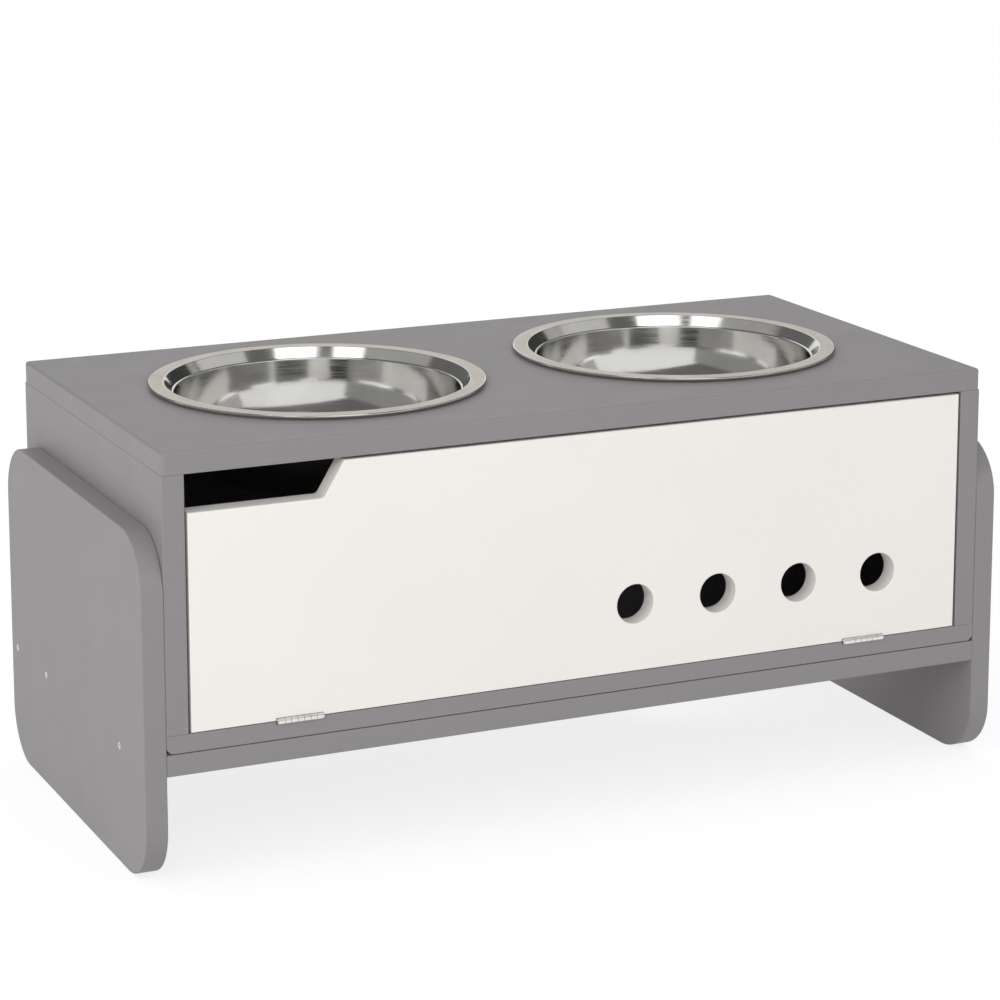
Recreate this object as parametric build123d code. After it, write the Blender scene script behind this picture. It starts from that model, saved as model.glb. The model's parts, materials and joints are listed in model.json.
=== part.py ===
from build123d import *
import os

# Elevated dog feeder with storage: a low board cabinet between two leg panels, with two
# lift-out steel bowls in its top and a drop-down door in front. Millimetres. X runs from left
# to right as seen from the front, Y from front to back, Z up. The origin is on the floor under
# the middle of the cabinet.

# ---- driving dimensions: cabinet ---------------------------------------------------------
CABINET_WIDTH = 600.0
CABINET_DEPTH = 300.0
SIDE_HEIGHT = 170.0
SIDE_THICKNESS = 15.0
TOP_THICKNESS = 15.0
TOP_CORNER_RADIUS = 3.0
TOP_EDGE_RADIUS = 2.0
BOTTOM_THICKNESS = 12.0
BOTTOM_END_RADIUS = 5.0
BASE_THICKNESS = 15.0
BASE_CLEAR_HEIGHT = 73.0  # from the floor to the underside of the base board
ARRIS = 0.8  # softened edge of a banded board

# ---- leg panels --------------------------------------------------------------------------
LEG_THICKNESS = 15.0
LEG_HEIGHT = 230.0
LEG_CORNER_RADIUS = 38.0

# ---- back panel and the grooves that hold it ---------------------------------------------
BACK_THICKNESS = 3.0
BACK_INSET = 8.0  # from the rear edges of the boards to the back panel
GROOVE_DEPTH = 6.0
GROOVE_CLEARANCE = 0.15

# ---- door --------------------------------------------------------------------------------
DOOR_THICKNESS = 15.0
DOOR_SIDE_GAP = 1.7
DOOR_TOP_GAP = 1.8
DOOR_BOTTOM_GAP = 0.4
NOTCH_LENGTH = 91.9  # along the notch's floor
NOTCH_DEPTH = 23.6
NOTCH_SLANT = 14.2  # how far the notch's end leans out towards the top
NOTCH_FILLET = 2.0
PEEP_DIAMETER = 27.4
PEEP_PITCH = 62.8
PEEP_END_DISTANCE = 62.7  # from the door's right edge to the last hole
PEEP_HEIGHT = 46.7  # above the door's lower edge
PEEP_COUNT = 4

# ---- bowls -------------------------------------------------------------------------------
BOWL_SPACING = 274.0
BOWL_SHEET = 0.8
BOWL_BRIM_RADIUS = 115.5
BOWL_BRIM_HEIGHT = 3.2  # above the top panel
BOWL_BRIM_CURL = 1.6
BOWL_THROAT_RADIUS = 104.7
BOWL_STEP_RADIUS = 99.4
BOWL_STEP_WIDTH = 1.4
BOWL_STEP_DEPTH = 7.0
BOWL_WAIST_RADIUS = 95.4
BOWL_WAIST_DEPTH = 35.0
BOWL_FLOOR_RADIUS = 71.0
BOWL_DEPTH = 70.0  # from the brim to the floor inside
BOWL_FLOOR_CURVE = 30.0
BOWL_WALL_CURVE = 60.0
BOWL_HOLE_CLEARANCE = 1.5

# ---- butt hinges under the door ----------------------------------------------------------
HINGE_END_DISTANCE = 73.8  # from the door's end to the middle of the hinge
HINGE_LENGTH = 31.0
HINGE_LEAF_WIDTH = 11.5  # from the pin's axis to the leaf's free edge
HINGE_LEAF_THICKNESS = 1.0
HINGE_BARREL_RADIUS = 2.0
HINGE_PIN_RADIUS = 1.0
HINGE_PIN_CLEARANCE = 0.05
HINGE_PIN_HEAD_RADIUS = 1.5
HINGE_PIN_HEAD_LENGTH = 0.6
HINGE_PIN_STANDOFF = 0.6  # from the front of the cabinet to the pin's axis
HINGE_KNUCKLES = 7
HINGE_KNUCKLE_GAP = 0.2
HINGE_RELIEF = 0.3  # room round the barrel in the boards and the opposite leaf
HINGE_SCREW_SPREAD = 19.0
HINGE_SCREW_SETBACK = 6.8  # from the pin's axis to the screws

# ---- magnetic catch under the top panel --------------------------------------------------
CATCH_BODY_LENGTH = 28.0
CATCH_EAR_LENGTH = 9.0
CATCH_EAR_THICKNESS = 3.0
CATCH_HEIGHT = 13.0
CATCH_DEPTH = 15.0
CATCH_AIR_GAP = 0.3  # between the pole plates and the strike plate
POLE_LENGTH = 22.0
POLE_THICKNESS = 1.2
POLE_DEPTH = 11.0
POLE_REACH = 1.0  # how far the pole plates stand out of the housing
MAGNET_THICKNESS = 5.0
MAGNET_DEPTH = 9.0
CATCH_FIT = 0.1
STRIKE_LENGTH = 30.0
STRIKE_HEIGHT = 9.0
STRIKE_THICKNESS = 1.0

# ---- knock-down fittings between the top and the sides -----------------------------------
CAM_SETBACK = 50.0  # from the front and rear edges of the side panel
CAM_DROP = 24.0  # from the side panel's upper edge to the cam's centre
CAM_RADIUS = 7.5
CAM_THICKNESS = 12.0
CAM_SLOT_LENGTH = 9.0
CAM_SLOT_WIDTH = 1.6
CAM_SLOT_DEPTH = 2.0
BOLT_THREAD_RADIUS = 2.5
BOLT_THREAD_LENGTH = 10.5
BOLT_NECK_RADIUS = 1.8
BOLT_NECK_LENGTH = 5.0
BOLT_HEAD_RADIUS = 3.2
BOLT_HEAD_LENGTH = 3.0
BOLT_CLEARANCE = 0.4
DOWEL_SETBACK = 25.0
DOWEL_RADIUS = 4.0
DOWEL_IN_TOP = 11.0
DOWEL_IN_SIDE = 19.0
DOWEL_END_ROOM = 0.8
FITTING_CLEARANCE = 0.05  # radial, for threads, dowels and cams in their holes

# ---- screws: radius of the head and shank, and overall length ----------------------------
LEG_SCREW_HEAD, LEG_SCREW_SHANK, LEG_SCREW_LENGTH = 2.5, 1.6, 45.0
LEG_SCREW_FRONT_SETBACK = 52.0
LEG_SCREW_REAR_SETBACK = 14.0
LEG_SCREW_REAR_PITCH = 70.0
BOARD_SCREW_HEAD, BOARD_SCREW_SHANK = 3.5, 1.75
SIDE_SCREW_LENGTH = 40.0
SIDE_SCREW_SETBACK = 40.0  # from the front and rear edges of the board
BASE_SCREW_LENGTH = 23.0
BASE_SCREW_END_DISTANCE = 100.0
BASE_SCREW_SETBACK = 50.0
BRACE_SCREW_LENGTH = 26.0
BRACE_SCREW_SETBACK = 60.0
BRACE_SCREW_DROP = 40.0  # below the top of the leg panel
SMALL_SCREW_HEAD, SMALL_SCREW_SHANK, SMALL_SCREW_LENGTH = 2.3, 1.25, 9.0

# ---- levels and faces that follow from them ----------------------------------------------
FRONT = -CABINET_DEPTH / 2
REAR = CABINET_DEPTH / 2
HALF_WIDTH = CABINET_WIDTH / 2
INNER_HALF = HALF_WIDTH - SIDE_THICKNESS
BASE_TOP = BASE_CLEAR_HEIGHT + BASE_THICKNESS
CAVITY_FLOOR = BASE_TOP + BOTTOM_THICKNESS
CAVITY_TOP = CAVITY_FLOOR + SIDE_HEIGHT
DECK = CAVITY_TOP + TOP_THICKNESS
SIDE_MIDDLE = HALF_WIDTH - SIDE_THICKNESS / 2
DOOR_BOTTOM = CAVITY_FLOOR + DOOR_BOTTOM_GAP
DOOR_TOP = CAVITY_TOP - DOOR_TOP_GAP
DOOR_HALF = INNER_HALF - DOOR_SIDE_GAP
DOOR_BACK = FRONT + DOOR_THICKNESS
BRIM_LEVEL = DECK + BOWL_BRIM_HEIGHT
PIN_Y = FRONT - HINGE_PIN_STANDOFF
PIN_Z = CAVITY_FLOOR + DOOR_BOTTOM_GAP / 2
HINGE_MIDDLE = DOOR_HALF - HINGE_END_DISTANCE
KNUCKLE_LENGTH = (HINGE_LENGTH - (HINGE_KNUCKLES - 1) * HINGE_KNUCKLE_GAP) / HINGE_KNUCKLES
CATCH_FACE = DOOR_BACK + STRIKE_THICKNESS + CATCH_AIR_GAP + POLE_REACH
CATCH_MIDDLE = CAVITY_TOP - CATCH_HEIGHT / 2

UP, DOWN = (0, 0, 1), (0, 0, -1)
LEFT_AND_RIGHT = (("left", -1), ("right", 1))
OVERCUT = 1.0  # how far a cutting tool runs past the surface that it opens


# ---- shared helpers ----------------------------------------------------------------------
def block(x_range, y_range, z_range):
    """Box between two opposite corners, given as a low and a high value on each axis."""
    low, high = zip(sorted(x_range), sorted(y_range), sorted(z_range))
    size = [b - a for a, b in zip(low, high)]
    return Pos(*low) * Box(*size, align=(Align.MIN, Align.MIN, Align.MIN))


def rod(radius, start, direction, length):
    """Round bar, or the tool for a round hole, from a point along a direction."""
    bar = Cylinder(radius, length, align=(Align.CENTER, Align.CENTER, Align.MIN))
    return Plane(origin=start, z_dir=direction) * bar


def turned(points, start, direction):
    """Solid turned from an outline of (radius, distance) points, standing along a direction."""
    outline = make_face(Polyline(*points, close=True))
    body = revolve(Plane.XZ * outline, Axis.Z)
    return Plane(origin=start, z_dir=direction) * body


def screw(head, shank, length, start, direction, slack=0.0):
    """Countersunk screw whose head is flush at start and whose point runs along direction.

    With slack it is the tool for the screw's hole: wider all round and open above the head.
    """
    head, shank, tip = head + slack, shank + slack, length + slack
    outline = [(0, 0), (head, 0), (shank, head - shank), (shank, tip), (0, tip)]
    if slack:
        outline = [(0, -OVERCUT), (head, -OVERCUT), *outline[1:]]
    return turned(outline, start, direction)


def screws(head, shank, length, places, direction, slack=0.0):
    """Row of equal screws, or the tools for their holes."""
    return [screw(head, shank, length, place, direction, slack) for place in places]


def front_and_rear(setback):
    """Two depths, the same distance in from the front and from the rear of the boards."""
    return FRONT + setback, REAR - setback


def cut(body, tools):
    """Body with every tool of a list taken away."""
    for tool in tools:
        body -= tool
    return body


# ---- where the fasteners sit -------------------------------------------------------------
def leg_screws(side, slack=0.0):
    """Screws through one leg panel into the end of the base board."""
    x = side * (HALF_WIDTH + LEG_THICKNESS)
    z = BASE_CLEAR_HEIGHT + BASE_THICKNESS / 2
    last = REAR - LEG_SCREW_REAR_SETBACK
    depths = (FRONT + LEG_SCREW_FRONT_SETBACK, last - LEG_SCREW_REAR_PITCH, last)
    places = [(x, y, z) for y in depths]
    return screws(LEG_SCREW_HEAD, LEG_SCREW_SHANK, LEG_SCREW_LENGTH, places, (-side, 0, 0), slack)


def brace_screws(side, slack=0.0):
    """Screws from inside the cabinet through a side panel into its leg panel."""
    z = LEG_HEIGHT - BRACE_SCREW_DROP
    places = [(side * INNER_HALF, y, z) for y in front_and_rear(BRACE_SCREW_SETBACK)]
    return screws(BOARD_SCREW_HEAD, BOARD_SCREW_SHANK, BRACE_SCREW_LENGTH, places, (side, 0, 0), slack)


def side_screws(side, slack=0.0):
    """Screws up through the bottom panel into the lower edge of a side panel."""
    places = [(side * SIDE_MIDDLE, y, BASE_TOP) for y in front_and_rear(SIDE_SCREW_SETBACK)]
    return screws(BOARD_SCREW_HEAD, BOARD_SCREW_SHANK, SIDE_SCREW_LENGTH, places, UP, slack)


def base_screws(slack=0.0):
    """Screws up through the base board into the bottom panel."""
    x = HALF_WIDTH - BASE_SCREW_END_DISTANCE
    depths = front_and_rear(BASE_SCREW_SETBACK)
    places = [(side * x, y, BASE_CLEAR_HEIGHT) for side in (-1, 1) for y in depths]
    return screws(BOARD_SCREW_HEAD, BOARD_SCREW_SHANK, BASE_SCREW_LENGTH, places, UP, slack)


def hinge_screws(side, level, direction, slack=0.0):
    """Two small screws that hold one leaf of a hinge."""
    y = PIN_Y + HINGE_SCREW_SETBACK
    places = [(side * HINGE_MIDDLE + x * HINGE_SCREW_SPREAD / 2, y, level) for x in (-1, 1)]
    return screws(SMALL_SCREW_HEAD, SMALL_SCREW_SHANK, SMALL_SCREW_LENGTH, places, direction, slack)


def case_leaf_screws(side, slack=0.0):
    """Screws down through the lower leaf into the bottom panel."""
    return hinge_screws(side, CAVITY_FLOOR, DOWN, slack)


def door_leaf_screws(side, slack=0.0):
    """Screws up through the upper leaf into the door's lower edge."""
    return hinge_screws(side, DOOR_BOTTOM, UP, slack)


def catch_screws(slack=0.0):
    """Screws up through the catch's ears into the top panel."""
    x = CATCH_BODY_LENGTH / 2 + CATCH_EAR_LENGTH / 2
    y = CATCH_FACE + CATCH_DEPTH / 2
    places = [(side * x, y, CAVITY_TOP - CATCH_EAR_THICKNESS) for side in (-1, 1)]
    return screws(SMALL_SCREW_HEAD, SMALL_SCREW_SHANK, SMALL_SCREW_LENGTH, places, UP, slack)


def strike_screw(slack=0.0):
    """Screw through the middle of the strike plate into the back of the door."""
    place = (0, DOOR_BACK + STRIKE_THICKNESS, CATCH_MIDDLE)
    return screw(SMALL_SCREW_HEAD, SMALL_SCREW_SHANK, SMALL_SCREW_LENGTH, place, (0, -1, 0), slack)


# ---- knock-down fittings -----------------------------------------------------------------
def cam_bolt(side, y):
    """Bolt that hangs from its thread in the top panel, with its neck and head in the cam."""
    head_start = BOLT_THREAD_LENGTH + CAM_DROP - BOLT_HEAD_LENGTH / 2
    head_end = head_start + BOLT_HEAD_LENGTH
    outline = [
        (0, 0),
        (BOLT_THREAD_RADIUS, 0),
        (BOLT_THREAD_RADIUS, head_start - BOLT_NECK_LENGTH),
        (BOLT_NECK_RADIUS, head_start - BOLT_NECK_LENGTH),
        (BOLT_NECK_RADIUS, head_start),
        (BOLT_HEAD_RADIUS, head_start),
        (BOLT_HEAD_RADIUS, head_end),
        (0, head_end),
    ]
    return turned(outline, (side * SIDE_MIDDLE, y, CAVITY_TOP + BOLT_THREAD_LENGTH), DOWN)


def cam_blank(side, y, slack=0.0):
    """Round cam blank, flush with the inner face of a side panel, or the tool for its bore."""
    start = (side * (INNER_HALF - (OVERCUT if slack else 0.0)), y, CAVITY_TOP - CAM_DROP)
    depth = CAM_THICKNESS + (OVERCUT + slack if slack else 0.0)
    return rod(CAM_RADIUS + slack, start, (side, 0, 0), depth)


def bolt_bore(side, y):
    """Bore down the side panel's edge, and into the cam, wide enough for the bolt's head."""
    depth = CAM_DROP + BOLT_HEAD_LENGTH / 2 + BOLT_CLEARANCE
    start = (side * SIDE_MIDDLE, y, CAVITY_TOP + OVERCUT)
    return rod(BOLT_HEAD_RADIUS + BOLT_CLEARANCE, start, DOWN, depth + OVERCUT)


def cam_disc(side, y):
    """Die-cast cam with a bore for the bolt and a crossed driver slot in its face."""
    centre = (side * INNER_HALF, y, CAVITY_TOP - CAM_DROP)
    half, width = CAM_SLOT_LENGTH / 2, CAM_SLOT_WIDTH / 2
    slots = [
        Pos(*centre) * block((-CAM_SLOT_DEPTH, CAM_SLOT_DEPTH), (-a, a), (-b, b))
        for a, b in ((half, width), (width, half))
    ]
    return cut(cam_blank(side, y), [bolt_bore(side, y), *slots])


def dowel(side, y, slack=0.0, end_room=0.0):
    """Fluteless wooden dowel that crosses the joint between top and side."""
    start = (side * SIDE_MIDDLE, y, CAVITY_TOP - DOWEL_IN_SIDE - end_room)
    return rod(DOWEL_RADIUS + slack, start, UP, DOWEL_IN_SIDE + DOWEL_IN_TOP + 2 * end_room)


def dowel_bores(side):
    """Bores for the dowels of one side, longer than the dowels at both ends."""
    return [dowel(side, y, FITTING_CLEARANCE, DOWEL_END_ROOM) for y in front_and_rear(DOWEL_SETBACK)]


# ---- boards ------------------------------------------------------------------------------
def back_panel(slack=0.0):
    """Thin back panel, or with slack the tool for the grooves that it slides in."""
    reach = GROOVE_DEPTH - GROOVE_CLEARANCE + slack
    y_rear = REAR - BACK_INSET
    return block(
        (-INNER_HALF - reach, INNER_HALF + reach),
        (y_rear - BACK_THICKNESS - slack, y_rear + slack),
        (CAVITY_FLOOR - reach, CAVITY_TOP + reach),
    )


def bowl_holes():
    """Two round holes through the top panel, a little wider than the bowls' throats."""
    radius = BOWL_THROAT_RADIUS + BOWL_SHEET + BOWL_HOLE_CLEARANCE
    start_z = CAVITY_TOP - OVERCUT
    depth = TOP_THICKNESS + 2 * OVERCUT
    return [rod(radius, (side * BOWL_SPACING / 2, 0, start_z), UP, depth) for side in (-1, 1)]


def top_panel():
    """Top board with softened upper edges, two bowl holes and blind bores underneath."""
    board = block((-HALF_WIDTH, HALF_WIDTH), (FRONT, REAR), (CAVITY_TOP, DECK))
    board = fillet(board.edges().filter_by(Axis.Z), TOP_CORNER_RADIUS)
    board = fillet(board.faces().sort_by(Axis.Z)[-1].edges(), TOP_EDGE_RADIUS)
    thread = BOLT_THREAD_RADIUS + FITTING_CLEARANCE
    tools = [*bowl_holes(), back_panel(GROOVE_CLEARANCE), *catch_screws(FITTING_CLEARANCE)]
    for _, side in LEFT_AND_RIGHT:
        tools += dowel_bores(side)
        for y in front_and_rear(CAM_SETBACK):
            start = (side * SIDE_MIDDLE, y, CAVITY_TOP - OVERCUT)
            tools.append(rod(thread, start, UP, BOLT_THREAD_LENGTH + OVERCUT + FITTING_CLEARANCE))
    return cut(board, tools)


def side_panel(side):
    """Upright side board with the back groove, cam and dowel bores and screw holes."""
    board = block((side * INNER_HALF, side * HALF_WIDTH), (FRONT, REAR), (CAVITY_FLOOR, CAVITY_TOP))
    board = chamfer(board.faces().sort_by(Axis.Y)[0].edges().filter_by(Axis.Z), ARRIS)
    tools = [back_panel(GROOVE_CLEARANCE), *dowel_bores(side)]
    for y in front_and_rear(CAM_SETBACK):
        tools += [cam_blank(side, y, FITTING_CLEARANCE), bolt_bore(side, y)]
    tools += side_screws(side, FITTING_CLEARANCE) + brace_screws(side, FITTING_CLEARANCE)
    return cut(board, tools)


def bottom_panel():
    """Cabinet floor with rounded lower ends, leaf recesses, barrel reliefs and screw holes."""
    board = block((-HALF_WIDTH, HALF_WIDTH), (FRONT, REAR), (BASE_TOP, CAVITY_FLOOR))
    ends = board.faces().sort_by(Axis.Z)[0].edges().filter_by(Axis.Y)
    board = fillet(ends, BOTTOM_END_RADIUS)
    tools = [back_panel(GROOVE_CLEARANCE), *base_screws(FITTING_CLEARANCE)]
    for _, side in LEFT_AND_RIGHT:
        tools += [leaf_recess(side, DOWN), barrel_relief(side)]
        tools += side_screws(side, FITTING_CLEARANCE) + case_leaf_screws(side, FITTING_CLEARANCE)
    return cut(board, tools)


def base_board():
    """Board between the leg panels that carries the cabinet."""
    board = block((-HALF_WIDTH, HALF_WIDTH), (FRONT, REAR), (BASE_CLEAR_HEIGHT, BASE_TOP))
    board = chamfer(board.faces().sort_by(Axis.Y)[0].edges().filter_by(Axis.X), ARRIS)
    tools = base_screws(FITTING_CLEARANCE)
    for _, side in LEFT_AND_RIGHT:
        tools += leg_screws(side, FITTING_CLEARANCE)
    return cut(board, tools)


def leg_panel(side):
    """Upright board with four large rounded corners, from the floor up beside the cabinet."""
    outline = Pos(0, LEG_HEIGHT / 2) * RectangleRounded(CABINET_DEPTH, LEG_HEIGHT, LEG_CORNER_RADIUS)
    inner = Plane.YZ.offset(side * HALF_WIDTH)
    board = extrude(inner * outline, amount=side * LEG_THICKNESS)
    board = chamfer(board.faces().filter_by(Axis.X).edges(), ARRIS)
    return cut(board, leg_screws(side, FITTING_CLEARANCE) + brace_screws(side, FITTING_CLEARANCE))


# ---- door --------------------------------------------------------------------------------
def door_outline():
    """Front view of the door: a rectangle with its upper left corner cut down for fingers."""
    sill = DOOR_TOP - NOTCH_DEPTH
    notch_end = -DOOR_HALF + NOTCH_LENGTH
    corners = [
        (-DOOR_HALF, DOOR_BOTTOM),
        (DOOR_HALF, DOOR_BOTTOM),
        (DOOR_HALF, DOOR_TOP),
        (notch_end + NOTCH_SLANT, DOOR_TOP),
        (notch_end, sill),
        (-DOOR_HALF, sill),
    ]
    outline = make_face(Polyline(*corners, close=True))
    inner_corner = outline.vertices().sort_by_distance((notch_end, sill))[0]
    return fillet(inner_corner, NOTCH_FILLET)


def peep_holes():
    """Row of round ventilation holes through the door, counted from its right edge."""
    last = DOOR_HALF - PEEP_END_DISTANCE
    starts = [
        (last - i * PEEP_PITCH, FRONT - OVERCUT, DOOR_BOTTOM + PEEP_HEIGHT) for i in range(PEEP_COUNT)
    ]
    depth = DOOR_THICKNESS + 2 * OVERCUT
    return [rod(PEEP_DIAMETER / 2, start, (0, 1, 0), depth) for start in starts]


def door():
    """Drop-down door with notch, ventilation holes and hinge recesses in its lower edge."""
    front = Plane.XZ.offset(-FRONT)
    board = extrude(front * door_outline(), amount=-DOOR_THICKNESS)
    tools = [*peep_holes(), strike_screw(FITTING_CLEARANCE)]
    for _, side in LEFT_AND_RIGHT:
        tools += [leaf_recess(side, UP), barrel_relief(side)]
        tools += door_leaf_screws(side, FITTING_CLEARANCE)
    return cut(board, tools)


# ---- hinges ------------------------------------------------------------------------------
def hinge_span(start, end):
    """X range of a stretch of hinge, measured along the barrel from its left end."""
    return start - HINGE_LENGTH / 2, end - HINGE_LENGTH / 2


def along_barrel(radius, start, end):
    """Round bar on the pin's axis between two distances from the barrel's left end."""
    low, high = hinge_span(start, end)
    return rod(radius, (low, PIN_Y, PIN_Z), (1, 0, 0), high - low)


def knuckle_starts():
    """Distance of each knuckle from the barrel's left end."""
    return [i * (KNUCKLE_LENGTH + HINGE_KNUCKLE_GAP) for i in range(HINGE_KNUCKLES)]


def hinge_leaf(own, level, direction):
    """Leaf of one hinge at the middle of the cabinet: a plate rolled round the pin.

    own is 0 for the leaf with the outer knuckles and 1 for the leaf with those between them.
    """
    thickness = direction[2] * HINGE_LEAF_THICKNESS
    half = HINGE_LENGTH / 2
    leaf = block((-half, half), (PIN_Y, PIN_Y + HINGE_LEAF_WIDTH), (level, level + thickness))
    for i, start in enumerate(knuckle_starts()):
        end = start + KNUCKLE_LENGTH
        if i % 2 == own:
            leaf += along_barrel(HINGE_BARREL_RADIUS, start, end)
        else:
            low, high = start - HINGE_KNUCKLE_GAP, end + HINGE_KNUCKLE_GAP
            leaf -= along_barrel(HINGE_BARREL_RADIUS + HINGE_RELIEF, low, high)
    bore = HINGE_PIN_RADIUS + HINGE_PIN_CLEARANCE
    return leaf - along_barrel(bore, -OVERCUT, HINGE_LENGTH + OVERCUT)


def case_leaf(side):
    """Lower leaf, let into the bottom panel, with the outer knuckles and every second one."""
    leaf = Pos(side * HINGE_MIDDLE, 0, 0) * hinge_leaf(0, CAVITY_FLOOR, DOWN)
    return cut(leaf, case_leaf_screws(side, FITTING_CLEARANCE))


def door_leaf(side):
    """Upper leaf, let into the door's lower edge, with the knuckles between the lower leaf's."""
    leaf = Pos(side * HINGE_MIDDLE, 0, 0) * hinge_leaf(1, DOOR_BOTTOM, UP)
    return cut(leaf, door_leaf_screws(side, FITTING_CLEARANCE))


def hinge_pin(side):
    """Steel pin through all the knuckles, riveted over at both ends."""
    pin = along_barrel(HINGE_PIN_RADIUS, 0, HINGE_LENGTH)
    for start in (-HINGE_PIN_HEAD_LENGTH, HINGE_LENGTH):
        pin += along_barrel(HINGE_PIN_HEAD_RADIUS, start, start + HINGE_PIN_HEAD_LENGTH)
    return Pos(side * HINGE_MIDDLE, 0, 0) * pin


def leaf_recess(side, direction):
    """Shallow seat for a leaf, as deep as the leaf is thick and open at the front."""
    level = DOOR_BOTTOM if direction == UP else CAVITY_FLOOR
    near = level - direction[2] * DOOR_BOTTOM_GAP / 2
    far = level + direction[2] * HINGE_LEAF_THICKNESS
    half = HINGE_LENGTH / 2 + FITTING_CLEARANCE
    middle = side * HINGE_MIDDLE
    y_range = (PIN_Y - OVERCUT, PIN_Y + HINGE_LEAF_WIDTH + FITTING_CLEARANCE)
    return block((middle - half, middle + half), y_range, (near, far))


def barrel_relief(side):
    """Round channel in the boards in which the barrel and the pin's heads turn freely."""
    room = HINGE_PIN_HEAD_LENGTH + HINGE_RELIEF
    channel = along_barrel(HINGE_BARREL_RADIUS + HINGE_RELIEF, -room, HINGE_LENGTH + room)
    return Pos(side * HINGE_MIDDLE, 0, 0) * channel


# ---- magnetic catch ----------------------------------------------------------------------
def catch_layer(thickness):
    """Z range of a layer of the given thickness at the middle of the catch."""
    return CATCH_MIDDLE - thickness / 2, CATCH_MIDDLE + thickness / 2


def catch_housing():
    """Moulded catch body with two ears, open in front for the magnet and its pole plates."""
    half = CATCH_BODY_LENGTH / 2
    back = CATCH_FACE + CATCH_DEPTH
    body = block((-half, half), (CATCH_FACE, back), (CAVITY_TOP - CATCH_HEIGHT, CAVITY_TOP))
    ear_half = half + CATCH_EAR_LENGTH
    ear_level = (CAVITY_TOP - CATCH_EAR_THICKNESS, CAVITY_TOP)
    body += block((-ear_half, ear_half), (CATCH_FACE, back), ear_level)
    stack = MAGNET_THICKNESS + 2 * POLE_THICKNESS + 2 * CATCH_FIT
    mouth = POLE_LENGTH / 2 + CATCH_FIT
    depth = POLE_DEPTH - POLE_REACH + CATCH_FIT
    pocket = block((-mouth, mouth), (CATCH_FACE - OVERCUT, CATCH_FACE + depth), catch_layer(stack))
    return cut(body, [pocket, *catch_screws(FITTING_CLEARANCE)])


def catch_magnet():
    """Flat ferrite magnet, set back a little behind the pole plates."""
    start = CATCH_FACE - POLE_REACH + POLE_DEPTH - MAGNET_DEPTH
    x_range = (-POLE_LENGTH / 2, POLE_LENGTH / 2)
    return block(x_range, (start, start + MAGNET_DEPTH), catch_layer(MAGNET_THICKNESS))


def pole_plates():
    """Two steel plates, above and below the magnet, that meet the strike plate."""
    start = CATCH_FACE - POLE_REACH
    x_range = (-POLE_LENGTH / 2, POLE_LENGTH / 2)
    low, high = catch_layer(MAGNET_THICKNESS)
    layers = ((low - POLE_THICKNESS, low), (high, high + POLE_THICKNESS))
    return [block(x_range, (start, start + POLE_DEPTH), layer) for layer in layers]


def strike_plate():
    """Steel plate on the back of the door that the magnet holds."""
    half = STRIKE_LENGTH / 2
    y_range = (DOOR_BACK, DOOR_BACK + STRIKE_THICKNESS)
    plate = block((-half, half), y_range, catch_layer(STRIKE_HEIGHT))
    return plate - strike_screw(FITTING_CLEARANCE)


# ---- bowls -------------------------------------------------------------------------------
def bowl_section():
    """Half section of the pressed bowl: floor, curved wall, step, throat and turned-down brim.

    The step and the throat are crisp creases; the rest is rounded.
    """
    floor = BRIM_LEVEL - BOWL_DEPTH
    step = BRIM_LEVEL - BOWL_STEP_DEPTH
    inside = FilletPolyline(
        (0, floor),
        (BOWL_FLOOR_RADIUS, floor),
        (BOWL_WAIST_RADIUS, BRIM_LEVEL - BOWL_WAIST_DEPTH),
        (BOWL_STEP_RADIUS - BOWL_STEP_WIDTH, step),
        (BOWL_STEP_RADIUS, step),
        (BOWL_THROAT_RADIUS, BRIM_LEVEL),
        (BOWL_BRIM_RADIUS, BRIM_LEVEL),
        (BOWL_BRIM_RADIUS, DECK),
        radius=[BOWL_FLOOR_CURVE, BOWL_WALL_CURVE, 0, 0, 0, BOWL_BRIM_CURL],
    )
    return make_face(offset(inside, amount=BOWL_SHEET, side=Side.RIGHT))


def bowl(side):
    """One-piece stainless bowl that hangs by its brim in a hole of the top panel."""
    shell = revolve(Plane.XZ * bowl_section(), Axis.Z)
    return Pos(side * BOWL_SPACING / 2, 0, 0) * shell


# ---- the whole feeder --------------------------------------------------------------------
def feeder():
    """Every node of the feeder: a name with its solid or its group of equal solids."""
    nodes = {
        "top_panel": top_panel(),
        "bottom_panel": bottom_panel(),
        "back_panel": back_panel(),
        "base_board": base_board(),
        "base_screws": base_screws(),
        "door": door(),
        "catch_housing": catch_housing(),
        "catch_magnet": catch_magnet(),
        "catch_pole_plates": pole_plates(),
        "catch_screws": catch_screws(),
        "strike_plate": strike_plate(),
        "strike_screw": strike_screw(),
    }
    for name, side in LEFT_AND_RIGHT:
        nodes[f"side_panel_{name}"] = side_panel(side)
        nodes[f"side_screws_{name}"] = side_screws(side)
        nodes[f"leg_panel_{name}"] = leg_panel(side)
        nodes[f"leg_screws_{name}"] = leg_screws(side)
        nodes[f"brace_screws_{name}"] = brace_screws(side)
        nodes[f"cam_discs_{name}"] = [cam_disc(side, y) for y in front_and_rear(CAM_SETBACK)]
        nodes[f"cam_bolts_{name}"] = [cam_bolt(side, y) for y in front_and_rear(CAM_SETBACK)]
        nodes[f"dowels_{name}"] = [dowel(side, y) for y in front_and_rear(DOWEL_SETBACK)]
        nodes[f"hinge_case_leaf_{name}"] = case_leaf(side)
        nodes[f"hinge_case_screws_{name}"] = case_leaf_screws(side)
        nodes[f"hinge_door_leaf_{name}"] = door_leaf(side)
        nodes[f"hinge_door_screws_{name}"] = door_leaf_screws(side)
        nodes[f"hinge_pin_{name}"] = hinge_pin(side)
        nodes[f"bowl_{name}"] = bowl(side)
    return nodes


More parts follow.
